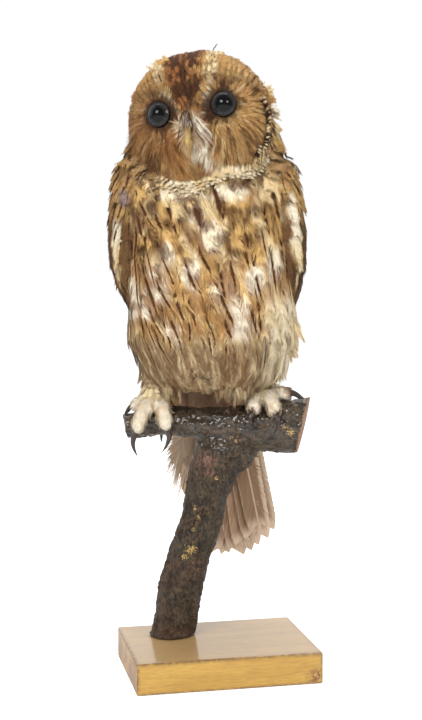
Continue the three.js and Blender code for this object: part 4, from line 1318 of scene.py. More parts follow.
def block_material():
    def build(g, shader):
        where = g.add("TexCoord", out=3)
        facing = g.add("SeparateXYZ", g.add("NewGeometry", out=1))
        # top and end pick out the top face and the left end, the end that faces the key light.
        top = g.span(facing.node.outputs[2], 0.7, 0.95)
        end = g.span(facing, -0.7, -0.95)
        bent = g.add("VectorMath", where, g.scaled(g.noise(where, 9.0, 2.0, out=1), 0.012), operation="ADD")
        grain = g.noise(g.stretched(bent, 0.10, 1, 1), 1000.0, 4.0)
        pores = g.noise(g.stretched(where, 0.09, 1, 1), 2300.0, 2.0)
        bands = g.noise(g.stretched(bent, 0.07, 1, 1), 95.0, 3.0)
        light = np.array(palette("wood"))
        tone = g.blend(g.span(bands, 0.3, 0.7), light * (0.90, 0.86, 0.78), light * (1.07, 1.08, 1.12))
        # Painted reflection: the top face and the left end are mixed towards a pale pinkish tan for the glare of the
        # lights on the varnish.
        tone = g.blend(g.math("MULTIPLY", g.math("MAXIMUM", top, end), 0.45), tone, (0.62, 0.44, 0.31))
        tone = g.scaled(tone, g.span(grain, 0.3, 0.72, 0.86, 1.07))
        tone = g.blend(g.span(pores, 0.58, 0.72, 0.0, 0.4), tone, (0.33, 0.17, 0.05))
        wear = g.add("Attribute", attribute_name="edge", out=2)
        scuff = g.span(g.noise(where, 260.0, 4.0), 0.34, 0.58, 0.25, 0.9)
        tone = g.blend(g.math("MULTIPLY", wear, scuff), tone, (0.20, 0.095, 0.035))
        gap = g.add("VectorMath", where, (0.064, -0.0495, 0.006), operation="SUBTRACT")
        gap = g.add("VectorMath", gap, (0.8, 1.0, 1.0), operation="MULTIPLY")
        near = g.span(g.add("VectorMath", gap, operation="LENGTH", out=1), 0.008, 0.002)
        knot = g.math("MULTIPLY", near, g.span(g.noise(where, 520.0, 3.0), 0.42, 0.55))
        tone = g.blend(knot, tone, (0.26, 0.11, 0.035))
        gloss = g.math("MULTIPLY_ADD", end, -0.6, 1.0)
        rough = g.math("MULTIPLY_ADD", end, 0.25, g.span(grain, 0.3, 0.7, 0.32, 0.46))
        tone = g.blend(g.math("MULTIPLY", end, g.span(g.noise(where, 60.0, 4.0), 0.4, 0.6, 0.1, 0.55)), tone, (0.26, 0.10, 0.055))
        set_shader(g, shader, Base_Color=tone, Roughness=rough, Coat_Weight=gloss, Coat_Roughness=0.12)
        bump(g, shader, g.math("ADD", grain, g.math("MULTIPLY", pores, 0.6)), 0.0001)

    return principled("Varnished block", build)


# ---------------------------------------------------------------- what is built, kept between steps
BUILT = {}


def skin_looks(places, normals, parts):
    """Ground colour of the bare skin: the same markings as the coat over it."""
    ground = np.tile(palette("brown"), (len(places), 1))
    for name, chosen in region_masks(places, normals, parts).items():
        if name != "streaks" and chosen.any():
            look = COATS[name]["look"](places[chosen], normals[chosen])
            tone = np.broadcast_to(look["ground"], (chosen.sum(), 3))
            mark = np.broadcast_to(look["mark"], (chosen.sum(), 3))
            pattern = np.broadcast_to(look["pattern"], (chosen.sum(), 3))
            ground[chosen] = mix(tone, mark, np.clip(pattern[:, 0] + 0.3 * pattern[:, 1], 0, 0.6))
            if look_is_plush(name):
                ground[chosen] *= 1.35
    return ground


def look_is_plush(name):
    return name.split("_")[0] in ("toes", "tarsus", "thigh")


def region_masks(places, normals, parts):
    """Which coat covers each place: {coat name: boolean array}. parts are FLESH indices."""
    h = to_head(places)
    node = np.array(FLESH)[parts]
    head, neck, trunk = node == "head", node == "neck", node == "trunk"
    disc = disc_measure(h)
    front = places[:, 1] < 10 + 18 * np.clip((places[:, 2] - 290) / 100, 0.2, 1)
    masks = {}
    side_rim = (h[:, 2] > -22) & (disc > 1.04)
    masks["collar"] = (head | neck) & (disc > 0.95) & (disc < 1.17) & (h[:, 1] < 2) & (h[:, 2] < 6) & ~side_rim
    masks["disc"] = head & in_disc(h) & ~masks["collar"]
    masks["crown"] = head & ~masks["disc"] & ~masks["collar"] & (h[:, 2] > -26)
    masks["crown"] &= (eye_distance(h) > 8.8) | (h[:, 1] > 0)
    body = (neck | trunk | (head & (h[:, 2] <= -26))) & ~masks["disc"] & ~masks["collar"]
    masks["breast"] = body & front & (places[:, 2] > 318)
    masks["streaks"] = body & front & (places[:, 2] > 256) & (places[:, 2] < 372) & (np.abs(places[:, 0] + 3) < 60)
    masks["belly"] = body & front & (places[:, 2] <= 318)
    masks["nape"] = body & ~front & (places[:, 2] > 352)
    masks["back"] = body & ~front & (places[:, 2] <= 352)
    for side in SIDES:
        masks[f"wing_{side}"] = node == f"wing_{side}"
        masks[f"thigh_{side}"] = node == f"thigh_{side}"
        masks[f"tarsus_{side}"] = node == f"tarsus_{side}"
        masks[f"toes_{side}"] = np.char.startswith(node, "toe_") & np.char.endswith(node, side)
    masks["coverts"] = node == "tail_coverts"
    return masks


COATS = {
    "disc": {"look": look_disc, "flow": flow_disc, "spacing": 1.45, "shape": "hair", "slot": "face_plumage"},
    "collar": {"look": look_collar, "flow": flow_body, "spacing": 2.0, "shape": "small", "slot": "face_plumage"},
    "crown": {"look": look_crown, "flow": flow_head, "spacing": 2.5, "shape": "small", "slot": "plumage"},
    "nape": {"look": look_nape, "flow": flow_body, "spacing": 4.8, "shape": "body", "slot": "plumage"},
    "breast": {"look": look_breast, "flow": flow_body, "spacing": 6.8, "shape": "body", "slot": "plumage"},
    "streaks": {"look": look_streaks, "flow": flow_body, "spacing": 8.6, "shape": "body", "slot": "plumage"},
    "belly": {"look": look_breast, "flow": flow_body, "spacing": 7.0, "shape": "body", "slot": "plumage"},
    "back": {"look": look_back, "flow": flow_body, "spacing": 7.0, "shape": "body", "slot": "plumage"},
    "coverts": {"look": look_coverts, "flow": flow_body, "spacing": 7.5, "shape": "body", "slot": "tail_plumage"},
    "wing_left": {"look": look_wing, "flow": flow_wing(1), "spacing": 5.2, "shape": "cover", "slot": "wing_plumage"},
    "wing_right": {"look": look_wing, "flow": flow_wing(-1), "spacing": 5.2, "shape": "cover", "slot": "wing_plumage"},
}
for _side in SIDES:
    COATS[f"thigh_{_side}"] = {"look": look_thigh, "flow": flow_body, "spacing": 3.0, "shape": "small", "slot": "toe_plumage"}
    COATS[f"tarsus_{_side}"] = {"look": look_tarsus, "flow": flow_foot, "spacing": 1.7, "shape": "hair", "slot": "toe_plumage"}
    COATS[f"toes_{_side}"] = {"look": look_foot, "flow": flow_foot, "spacing": 1.05, "shape": "hair", "slot": "toe_plumage"}

COAT_DEPTH = {  # how far the skin lies under the coat's tips, in mm
    "head": 3.2, "neck": 3.8, "trunk": 4.4, "tail_coverts": 3.0, "wing": 1.0, "thigh": 3.0,
    "tarsus": 0.6, "toe": 0.1,
}


def flesh_triangles():
    """All flesh nodes as one triangle soup in bird mm, with each triangle's FLESH index."""
    points, triangles, parts = [], [], []
    base = 0
    for index, name in enumerate(FLESH):
        mesh = NODES[name].data
        mesh.calc_loop_triangles()
        corners = np.empty(len(mesh.loop_triangles) * 3, np.int32)
        mesh.loop_triangles.foreach_get("vertices", corners)
        points.append(to_bird(points_of(mesh)))
        triangles.append(corners.reshape(-1, 3) + base)
        parts.append(np.full(len(mesh.loop_triangles), index))
        base += len(mesh.vertices)
    return np.concatenate(points), np.concatenate(triangles), np.concatenate(parts)


def smoothed(values, edges, rounds):
    """A value at each vertex, averaged along the edges so many times."""
    count = len(values)
    weight = np.bincount(edges.ravel(), minlength=count).clip(1)
    for _ in range(rounds):
        total = np.bincount(edges[:, 0], values[edges[:, 1]], count)
        total += np.bincount(edges[:, 1], values[edges[:, 0]], count)
        values = 0.4 * values + 0.6 * total / weight
    return values


def mesh_triangles(mesh):
    """Corner vertices and corner loops of a mesh's triangles."""
    mesh.calc_loop_triangles()
    vertices = np.empty(len(mesh.loop_triangles) * 3, np.int32)
    loops = np.empty(len(mesh.loop_triangles) * 3, np.int32)
    mesh.loop_triangles.foreach_get("vertices", vertices)
    mesh.loop_triangles.foreach_get("loops", loops)
    return vertices.reshape(-1, 3), loops.reshape(-1, 3)


def point_attribute(mesh, name, values):
    """Stores a number, or a colour, at each vertex."""
    values = np.asarray(values, np.float32)
    if values.ndim == 1:
        mesh.attributes.new(name, "FLOAT", "POINT").data.foreach_set("value", values)
    else:
        full = np.hstack([values, np.ones((len(values), 1), np.float32)])
        mesh.attributes.new(name, "FLOAT_COLOR", "POINT").data.foreach_set("color", full.ravel())


class OWL_OT_skin(bpy.types.Operator):
    """Fuses the flesh into one skin, sunk by the depth of the coat"""

    bl_idname = "owl.skin"
    bl_label = "Skin"

    def execute(self, context):
        BUILT["coat"] = context.scene.owl_coat
        claws = [to_bird(points_of(NODES[toe.replace("toe_", "claw_")].data)) for toe in TOES]
        BUILT["claw_roots"] = np.array([claw[claw[:, 2].argmax()] for claw in claws])
        skin = copy_nodes("skin", *FLESH)
        orbits = []
        for side in SIDES.values():
            bpy.ops.object.select_all(action="DESELECT")
            bpy.ops.mesh.primitive_torus_add(
                major_radius=10.6, minor_radius=2.7, major_segments=48, minor_segments=12)
            context.object.data.transform(socket_matrix(side, 3.5))
            orbits.append(context.object)
        select_only(*orbits, skin)
        bpy.ops.object.join()
        apply_modifier(skin, "REMESH", mode="VOXEL", voxel_size=1.6 * MM)
        largest_shell(skin)
        apply_modifier(skin, "SMOOTH", factor=0.5, iterations=6)
        mesh = skin.data
        soup, triangles, parts = flesh_triangles()
        tree = BVHTree.FromPolygons(soup.tolist(), triangles.tolist())
        points = to_bird(points_of(mesh))
        part = np.array([parts[tree.find_nearest(p)[2]] for p in points.tolist()])
        depth = np.array([COAT_DEPTH.get(name.split("_")[0], 3.0) for name in FLESH])[part]
        edges = np.empty(len(mesh.edges) * 2, np.int32)
        mesh.edges.foreach_get("vertices", edges)
        depth = smoothed(depth, edges.reshape(-1, 2), 12)
        h = to_head(points)
        for side in SIDES.values():
            gap = np.linalg.norm(h - [side * EYE["x"], EYE["y"], EYE["z"]], axis=1)
            depth *= between(0.1, 1.0, ease(EYE["radius"] + 1, EYE["radius"] + 9, gap))
        bill = np.linalg.norm((h - BILL_ROOT)[:, [0, 2]], axis=1) + 40 * (h[:, 1] > -25)
        depth *= between(0.3, 1.0, ease(5, 14, bill))
        normals = np.empty(len(mesh.vertices) * 3, np.float32)
        mesh.vertices.foreach_get("normal", normals)
        normals = normals.reshape(-1, 3) @ MOUNT_TURN
        points -= normals * depth[:, None]
        set_points(mesh, to_world(points))
        in_edit(skin, lambda: bpy.ops.uv.smart_project(angle_limit=math.radians(66), island_margin=0.002))
        corners, loops = mesh_triangles(mesh)
        unwrap = np.empty(len(mesh.loops) * 2, np.float32)
        mesh.uv_layers[0].uv.foreach_get("vector", unwrap)
        mesh.uv_layers[0].name = "OFBake"
        surface = Surface(points, corners)
        BUILT["surface"] = surface
        BUILT["unwrap"] = unwrap.reshape(-1, 2)[loops]
        BUILT["parts"] = part[corners[:, 0]]
        face_normals = unit(surface.normals[corners].mean(axis=1))
        BUILT["regions"] = region_masks(surface.centres, face_normals, BUILT["parts"])
        point_attribute(mesh, "ground", skin_looks(points, surface.normals, part))
        select_only(skin)
        bpy.ops.object.shade_smooth()
        finish_piece(skin, "plumage", skin_material(), *FLESH)
        return {"FINISHED"}


def socket_matrix(side, forward):
    """World matrix of one eye socket: +Z looks out of it, forward mm before the ball's middle."""
    look = Vector((side * math.sin(EYE["splay"]), -math.cos(EYE["splay"]), 0.06)).normalized()
    turn = look.to_track_quat("Z", "Y").to_matrix().to_4x4()
    in_head = Matrix.Translation((side * EYE["x"], EYE["y"], EYE["z"])) @ turn @ Matrix.Translation((0, 0, forward))
    head = Matrix.Translation(HEAD_AT.tolist()) @ Matrix(HEAD_TURN.tolist()).to_4x4()
    mount = Matrix.Translation((MOUNT_SHIFT * MM).tolist()) @ Matrix(MOUNT_TURN.tolist()).to_4x4()
    return mount @ Matrix.Scale(MM, 4) @ head @ in_head


class OWL_OT_eyes(bpy.types.Operator):
    """Adds the glass eyes and their dark lids"""

    bl_idname = "owl.eyes"
    bl_label = "Eyes"

    def execute(self, context):
        glass, rim = glass_eye_material(), lid_material()
        for name, side in SIDES.items():
            bpy.ops.object.select_all(action="DESELECT")
            bpy.ops.mesh.primitive_uv_sphere_add(segments=64, ring_count=40, radius=EYE["radius"])
            eye = context.object
            eye.name = f"glass_eye_{name}"
            points = points_of(eye.data)
            round_ = np.hypot(points[:, 0], points[:, 1]) / EYE["radius"]
            points[:, 2] += np.where(points[:, 2] > 0, 0.9 * np.clip(1 - (round_ / 0.6) ** 2, 0, 1) ** 1.5, 0)
            set_points(eye.data, points)
            point_attribute(eye.data, "iris", np.where(points[:, 2] > 0, round_, 1.0))
            bpy.ops.object.shade_smooth()
            eye.data.transform(socket_matrix(side, 0))
            finish_piece(eye, "eye_glass", glass, f"eye_{name}")

            bpy.ops.object.select_all(action="DESELECT")
            bpy.ops.mesh.primitive_torus_add(major_radius=8.3, minor_radius=0.6, major_segments=72, minor_segments=12)
            lid = context.object
            lid.name = f"lid_{name}"
            points = points_of(lid.data)
            turn = np.arctan2(points[:, 1], points[:, 0])
            points[:, 2] += 0.2 * np.abs(np.sin(turn)) + 0.3 * (patches(points, 1.6, 5) - 0.5)
            points[:, :2] *= (1 + 0.02 * np.sin(2 * turn + 0.6))[:, None]
            set_points(lid.data, points)
            bpy.ops.object.shade_smooth()
            lid.data.transform(socket_matrix(side, 6.4))
            finish_piece(lid, "eyelid", rim, f"eyelid_{name}")
        return {"FINISHED"}


def smooth_copy(name, node, levels=2):
    """A rounded copy of one CAD node."""
    obj = copy_nodes(name, node)
    apply_modifier(obj, "SUBSURF", levels=levels, render_levels=levels)
    select_only(obj)
    bpy.ops.object.shade_smooth()
    return obj


class OWL_OT_bill(bpy.types.Operator):
    """Adds the two halves of the bill"""

    bl_idname = "owl.bill"
    bl_label = "Bill"

    def execute(self, context):
        horn = palette("horn")
        material = horn_material("Bill horn", tuple(horn), tuple(horn * (0.72, 0.6, 0.5)), 0.3)
        for half in ("upper", "lower"):
            bill = smooth_copy(f"beak_{half}", f"bill_{half}")
            h = to_head(to_bird(points_of(bill.data)))
            point_attribute(bill.data, "along", np.clip((2 - h[:, 2]) / 28, 0, 1))
            middle = np.interp(h[:, 2], [-26, 2], [-4, -2.5])
            h[:, 0] = middle + (h[:, 0] - middle) * 0.86
            set_points(bill.data, to_world(from_head(h)))
            finish_piece(bill, "bill", material, f"bill_{half}")
        return {"FINISHED"}


class OWL_OT_claws(bpy.types.Operator):
    """Adds the claws"""

    bl_idname = "owl.claws"
    bl_label = "Claws"

    def execute(self, context):
        claw = palette("claw")
        material = horn_material("Claw horn", tuple(claw * 2.1), tuple(claw * 0.55), 0.22)
        for toe in TOES:
            node = toe.replace("toe_", "claw_")
            piece = smooth_copy(toe.replace("toe_", "talon_"), node)
            points = points_of(piece.data)
            high, low = points[:, 2].max(), points[:, 2].min()
            along = (high - points[:, 2]) / (high - low)
            point_attribute(piece.data, "along", along)
            if "middle" in toe or "inner" in toe:
                side = "left" if toe.endswith("left") else "right"
                claw = to_bird(points)
                root, tip = claw[points[:, 2].argmax()], claw[points[:, 2].argmin()]
                axis = root + (tip - root) * along[:, None]
                outward = np.sign(root[0] - FEET_X[side] - (2.5 if side == "left" else 0))
                claw = axis + (claw - axis) * between(1.25, 0.95, along)[:, None]
                claw[:, 0] += outward * (2.0 * np.sin(np.pi * along) - 2.2 * along**2)
                claw[:, 1] -= 1.2 * np.sin(np.pi * along)
                set_points(piece.data, to_world(claw))
            finish_piece(piece, "claw", material, node)
        return {"FINISHED"}


def feather_shapes(kind, rng):
    """Variants of one kind of feather, and their nominal length and half width in mm."""
    if kind == "body":
        size = (31.0, 8.0)
        return [plume(rng, *size, barbs=38, thick=0.68, reach=0.36, vane=0.3, rows=6, fray=0.16, curl=0.35) for _ in range(6)], size
    if kind == "cover":
        size = (22.0, 6.5)
        return [plume(rng, *size, barbs=20, thick=0.8, vane=0.8, rows=6, fray=0.06, curl=0.2) for _ in range(5)], size
    if kind == "small":
        size = (10.0, 2.5)
        return [plume(rng, *size, barbs=9, thick=0.36, vane=0.5, rows=4, fray=0.16, curl=0.3) for _ in range(6)], size
    size = (8.0, 1.1)
    return [tuft(rng, *size, barbs=6, thick=0.42) for _ in range(6)], size


def build_coats(names, piece, material, steps):
    """Grows the named coats and writes them as one piece."""
    batches = []
    for name in names:
        spec = COATS[name]
        rng = np.random.default_rng([BUILT["coat"].seed, list(COATS).index(name)])
        shapes, size = feather_shapes(spec["shape"], rng)
        places, index = BUILT["surface"].scatter(BUILT["regions"][name], spec["spacing"], rng)
        batches += grow(places, index, shapes, size, spec["flow"], spec["look"], rng, steps)
    return finish_piece(write_piece(piece, batches), COATS[names[0]]["slot"], material)


def build_bristles(rng):
    """Stiff hairs from the brow: short dark ones over the bill's root, long pale ones beside it."""
    count = 260
    side = rng.uniform(-1, 1, count)
    over = np.abs(side) < 0.5
    start = np.stack([
        BILL_ROOT[0] + np.where(over, 5.0, 7.0) * side, np.full(count, -44.5),
        np.where(over, rng.uniform(3, 11, count), rng.uniform(-3, 6, count)),
    ], 1)
    drop = np.where(over, rng.uniform(7, 11.5, count), rng.uniform(10, 20, count))
    spread = np.where(over, 1.6, 5.0) * side + np.where(side > 0, 0.38, 0.0) * drop * ~over
    out = np.where(over, -14.5, -6.0 + 3.5 * np.abs(side))
    end = start + np.stack([spread + rng.normal(0, 0.8, count), out, -drop], 1)
    middle = (start + end) / 2 + np.stack([0 * side, np.where(over, -9.0, -3.0), 1.5 + 0 * side], 1)
    t = np.linspace(0, 1, 5)[:, None]
    line = start[:, None] * (1 - t) ** 2 + middle[:, None] * (2 * t * (1 - t)) + end[:, None] * t**2
    fine = rng.random(count)
    dark = np.where(over, 0.8, np.where(side < 0, 0.6, 0.25))
    ground = mix(palette("white"), palette("rufous"), 0.85 * (fine < dark))
    ground = mix(ground, palette("chocolate"), 0.8 * (fine < np.where(over, 0.7, 0.45) * dark))
    ground = mix(ground, palette("ash"), 0.6 * ((fine > 0.65) & ~over))
    keep = over | (rng.random(count) < np.where(side < 0, 0.10, 0.95))
    line, ground, count = line[keep], ground[keep], keep.sum()
    normal = np.broadcast_to(unit(np.array([0, -1, 0.25])), line.shape)
    look = full_look(count, rng, length=11.0, half=0.45, low=0.0, high=0.0, ground=ground, rough=0.7)
    shapes, size = feather_shapes("hair", rng)
    lines = from_head(line.reshape(-1, 3)).reshape(line.shape)
    lie = (normal.reshape(-1, 3) @ HEAD_TURN.T).reshape(line.shape)
    _, _, index = BUILT["surface"].nearest(lines[:, 0])
    rooted = BUILT["unwrap"][index].mean(axis=1)
    return dress(lines, lie, look, rooted, shapes, size, rng)


def build_rim(rng):
    """A line of dark and cream beads up the left side of the facial disc."""
    angle = np.radians(np.arange(-50, 22, 2.3))
    rows = []
    for size in (0.945, 0.965, 0.99):
        turn = angle + rng.normal(0, 0.012, len(angle)) + 0.02 * (size > 0.98)
        x = 18 + 38 * size * np.cos(turn)
        z = np.where(turn < 0, np.interp(x, DISC_X, DISC_DROP), 34) * size * np.sin(turn) - 2
        rows.append(np.stack([x, -20 - 8 * (x < 46), z], 1))
    places, _, index = BUILT["surface"].nearest(from_head(np.concatenate(rows)))
    outer = np.repeat([0, 0, 1], len(angle))
    pale = np.where(outer, rng.random(len(places)) < 0.6, rng.random(len(places)) < 0.12)

    def look(places, normals):
        ground = mix(palette("chocolate"), palette("cream"), 0.95 * pale)
        length = np.where(pale, 2.6, 3.6)
        return {"length": length, "half": 0.9, "low": 1.4, "high": 3.4, "ground": ground, "droop": 30.0}

    shapes, size = feather_shapes("small", rng)
    return grow(places, index, shapes, size, flow_head, look, rng, 3)


# Tufts that stand out of the coat: x, y, z near the root, way, length, half width, colours.
STRAYS = (
    ((-45, -8, 463), (-0.7, -0.1, 0.7), 6, 2.6, "cream", "buff", 9),
    ((-39, -12, 468), (-0.5, -0.1, 0.9), 6, 2.4, "buff", "gold", 8),
    ((1, 2, 474), (0.1, 0, 1), 9, 0.7, "chocolate", "chocolate", 1),
    ((5, -14, 468), (0.5, -0.3, 0.8), 5, 2.0, "cream", "buff", 5),
    ((46, 2, 444), (0.6, 0.0, 0.6), 7, 1.6, "cream", "gold", 14),
    ((48, 2, 436), (0.7, -0.1, 0.3), 6, 1.8, "buff", "gold", 16),
    ((50, 2, 427), (0.7, -0.1, 0.0), 7, 1.9, "white", "buff", 18),
    ((50, 0, 418), (0.6, -0.1, -0.5), 8, 1.8, "cream", "buff", 16),
    ((51, 0, 409), (0.5, -0.1, -0.7), 8, 1.8, "buff", "gold", 16),
    ((54, -8, 278), (0.35, -0.1, -0.9), 20, 2.2, "cream", "buff", 18),
    ((50, -8, 258), (0.35, -0.1, -0.9), 15, 2.0, "cream", "buff", 14),
    ((44, -10, 236), (0.4, -0.2, -0.8), 12, 1.8, "ash", "cream", 12),
    ((8, -24, 222), (0.1, -0.4, -0.9), 13, 1.5, "ash", "brown", 16),
    ((18, -22, 222), (0.2, -0.4, -0.9), 16, 1.6, "ash", "cream", 16),
    ((28, -20, 224), (0.2, -0.3, -0.9), 12, 1.5, "ash", "brown", 14),
    ((-32, -18, 226), (-0.2, -0.3, -0.9), 14, 1.5, "ash", "cream", 14),
)


def build_strays(rng):
    """Loose tufts of a few feathers each."""
    batches = []
    shapes, size = feather_shapes("small", rng)
    skin = BUILT["surface"]
    for root, way, length, half, ground, mark, count in STRAYS:
        start = np.array(root) + rng.normal(0, 2.4, (count, 3))
        start, normals, index = skin.nearest(start)
        ways = unit(unit(np.array(way)) + rng.normal(0, 0.16, (count, 3)))
        t = np.linspace(0, 1, 4)[:, None]
        reach = (length * rng.uniform(0.75, 1.15, count))[:, None, None]
        bend = unit(flow_body(start, normals) + 0.001)
        line = start[:, None] + ways[:, None] * t * reach + bend[:, None] * reach * 0.3 * t**2
        lie = np.broadcast_to(unit(0.4 * normals + [0, -0.8, 0.5])[:, None], line.shape).copy()
        tone = mix(palette(ground), palette(mark), 0.6 * (rng.random(count) < 0.3))
        look = full_look(
            count, rng, length=float(length), half=half, low=0.0, high=0.0, ground=tone,
            mark=palette(mark), pattern=(0.0, 0.1, 0.25), rough=1.6,
        )
        batches += dress(line, lie, look, BUILT["unwrap"][index].mean(axis=1), shapes, size, rng)
    return batches


def build_quills(side, rng):
    """Long quills down a folded wing, the ones nearer the back lying on top."""
    count = 10
    chord = np.linspace(-0.86, 0.86, count)
    level = 326.0
    spine = [np.interp(-level, -WING_SPINE[:, 3], WING_SPINE[:, k]) for k in range(3)]
    half = 0.5 * np.interp(-level, -WING_SPINE[:, 3], WING_CHORD)
    guess = np.stack([
        spine[1] + side * (spine[0] + 12 - 8 * chord**2), spine[2] + 0.85 * half * chord,
        level + 0.4 * half * chord,
    ], 1)
    places, _, index = BUILT["surface"].nearest(guess)
    size = (100.0, 8.0)
    shapes = [quill(rng, *size, 64, 2) for _ in range(count)]

    def look(places, normals):
        made = look_wing(places, normals)
        made.update(
            length=between(74, 112, ease(-0.9, 0.2, chord)), half=9.4, low=1.6, high=2.6 + 0.8 * (chord + 1),
            droop=80.0, rough=1.0,
        )
        return made

    return grow(places, index, shapes, size, flow_wing(side), look, rng, 10)


class OWL_OT_head_coat(bpy.types.Operator):
    """Grows the facial disc, its collar and the crown"""

    bl_idname = "owl.head_coat"
    bl_label = "Head plumage"

    def execute(self, context):
        face = plumage_material("Face plumage", barbs=9.0, bar_count=12.0)
        head = plumage_material("Head plumage", barbs=9.0, bar_count=11.0)
        build_coats(["disc"], "disc_feathers", face, 3)
        build_coats(["collar"], "collar_feathers", head, 3)
        rng = np.random.default_rng([BUILT["coat"].seed, 71])
        finish_piece(write_piece("bill_bristles", build_bristles(rng)), "face_plumage", face)
        finish_piece(write_piece("rim_feathers", build_rim(rng)), "face_plumage", head)
        finish_piece(write_piece("loose_tufts", build_strays(rng)), "plumage", head)
        build_coats(["crown"], "head_feathers", head, 3)
        return {"FINISHED"}


class OWL_OT_body_coat(bpy.types.Operator):
    """Grows the plumage of the breast, belly, back and rump"""

    bl_idname = "owl.body_coat"
    bl_label = "Body plumage"

    def execute(self, context):
        body = plumage_material("Body plumage", barbs=30.0, bar_count=16.0, shaft="umber")
        for name in ("nape", "back", "belly", "breast", "streaks", "coverts"):
            build_coats([name], f"{name}_feathers", body, 5)
        return {"FINISHED"}


class OWL_OT_wing_coat(bpy.types.Operator):
    """Lays the coverts and long quills of the folded wings"""

    bl_idname = "owl.wing_coat"
    bl_label = "Wing plumage"

    def execute(self, context):
        covert = plumage_material("Wing coverts", barbs=22.0, bar_count=15.0)
        vane = plumage_material("Wing quills", barbs=60.0, bar_count=42.0)
        for name, side in SIDES.items():
            build_coats([f"wing_{name}"], f"wing_coverts_{name}", covert, 4)
            rng = np.random.default_rng([BUILT["coat"].seed, 121 + side])
            quills = write_piece(f"wing_quills_{name}", build_quills(side, rng))
            finish_piece(quills, "wing_plumage", vane)
        return {"FINISHED"}


class OWL_OT_leg_coat(bpy.types.Operator):
    """Grows the plush of the legs and toes"""

    bl_idname = "owl.leg_coat"
    bl_label = "Leg plumage"

    def execute(self, context):
        plush = plumage_material("Foot plush", barbs=6.0, bar_count=8.0, root=0.92)
        for side in SIDES:
            build_coats([f"thigh_{side}", f"tarsus_{side}"], f"leg_feathers_{side}", plush, 3)
            build_coats([f"toes_{side}"], f"toe_plush_{side}", plush, 2)
        return {"FINISHED"}


def hung_quills(feathers, rng, ground, mark, pattern, wispy=(), paint=None):
    """Straight long feathers. Each is (root, way, normal, length, half width, lean of the webs)."""
    batches = []
    for k, (root, way, normal, length, half, lean) in enumerate(feathers):
        shape = quill(rng, length, half, 90, 7 if paint else 3, lean)
        if k in wispy:
            shape = plume(
                rng, length, half, barbs=120, thick=1.0, reach=0.14, vane=0.72, rows=9, fray=0.3, curl=1.2)
        steps = 6
        t = np.linspace(0, 1, steps + 1)[:, None]
        sway = rng.normal(0, 0.6)
        side = unit(np.cross(normal, way))
        line = root + way * length * t + side * sway * t**2
        look = full_look(
            1, rng, length=length, half=half, low=0.0, high=0.0, droop=90.0, ground=ground(k),
            mark=mark, pattern=pattern,
        )
        look.update(bend=np.zeros(1), roll=rng.normal(0, 0.02, 1), half=np.array([half]))
        look["patch"] = np.array([0.045, 0.9])
        if paint:
            look["paint"] = partial(paint, share=rng.random())
        rooted = np.array([[(k + 0.5) / len(feathers) * 0.96 + 0.02, 0.5]])
        at, triangles, vane = lay(shape, (length, half), line[None], np.tile(normal, (1, steps + 1, 1)), look, rng)
        batches.append((at, triangles, vane, look, rooted))
    return batches


def hang(lean, slope):
    """Way and normal of a feather that hangs down, leaned sideways and sloped back."""
    way = np.array([math.cos(slope) * math.sin(lean), math.sin(slope), -math.cos(slope) * math.cos(lean)])
    normal = np.array([-math.sin(slope) * math.sin(lean), math.cos(slope), math.sin(slope) * math.cos(lean)])
    return way, normal


class OWL_OT_tail(bpy.types.Operator):
    """Hangs the tail feathers"""

    bl_idname = "owl.tail"
    bl_label = "Tail"

    def execute(self, context):
        rng = np.random.default_rng([BUILT["coat"].seed, 101])
        T = TAIL
        feathers = []
        for k in range(T["count"]):
            place = k - (T["count"] - 1) / 2
            outer = T["strays"] - 1 - k
            lean = place * T["fan"] + T["swing"]
            length = T["length"] - T["shorten"] * abs(place) ** 1.5
            if outer >= 0:
                lean = -T["stray_fan"] - outer * T["stray_step"]
                length = T["stray_length"] - outer * T["stray_trim"]
            way, normal = hang(lean, T["slope"])
            root = np.array([T["x"] + place * T["spacing"], T["y"] - (abs(place) - 3) * T["stack"], T["top"]])
            feathers.append((root, way, normal, length, T["width"] / 2, 0.18 * np.sign(-place)))
        wispy = range(T["strays"])
        ground = lambda k: palette("rose")

        def paint(points, share):
            cloud = patches(points, 7, 105)
            dull = mix(palette("brown"), palette("ash"), 0.35)
            tone = mix(dull, palette("rose"), 0.6 * ease(170, 100, points[:, 2]) + 0.3 * cloud + 0.45 * (share - 0.4))
            tone = mix(tone, palette("pale_edge"), 0.5 * ease(-14, -20, points[:, 0] + 0.1 * (150 - points[:, 2])))
            return tone, mix(palette("brown"), tone, 0.6)

        batches = hung_quills(
            feathers, rng, ground, palette("brown"), (0.0, 0.3, 0.0), wispy, paint)
        material = plumage_material("Tail vane", barbs=70.0, bar_count=44.0, edge=0.95)
        finish_piece(write_piece("tail_feathers", batches), "tail_plumage", material, "tail")
        return {"FINISHED"}


class OWL_OT_primaries(bpy.types.Operator):
    """Hangs the tips of the primaries under each wing"""

    bl_idname = "owl.primaries"
    bl_label = "Primaries"

    def execute(self, context):
        P = PRIMARY
        material = plumage_material("Primary vane", barbs=70.0, bar_count=40.0)
        for name, side in SIDES.items():
            rng = np.random.default_rng([BUILT["coat"].seed, 111 + side])
            feathers = []
            for k in range(P["count"]):
                way, normal = hang(-side * P["lean"], P["back"])
                root = np.array([P["mid"] + side * (P["x"] - k * P["spread"]), P["y"] + k * P["stack"], P["top"]])
                feathers.append((root, way, normal, P["length"] - k * P["step"], P["width"] / 2, -0.2 * side))
            ground = lambda k: mix(palette("buff"), palette("brown"), 0.45)
            batches = hung_quills(feathers, rng, ground, mix(palette("chocolate"), palette("brown"), 0.3), (0.03, 0.9, 0.0))
            finish_piece(write_piece(f"primary_feathers_{name}", batches), "wing_plumage", material, f"primaries_{name}")
        return {"FINISHED"}


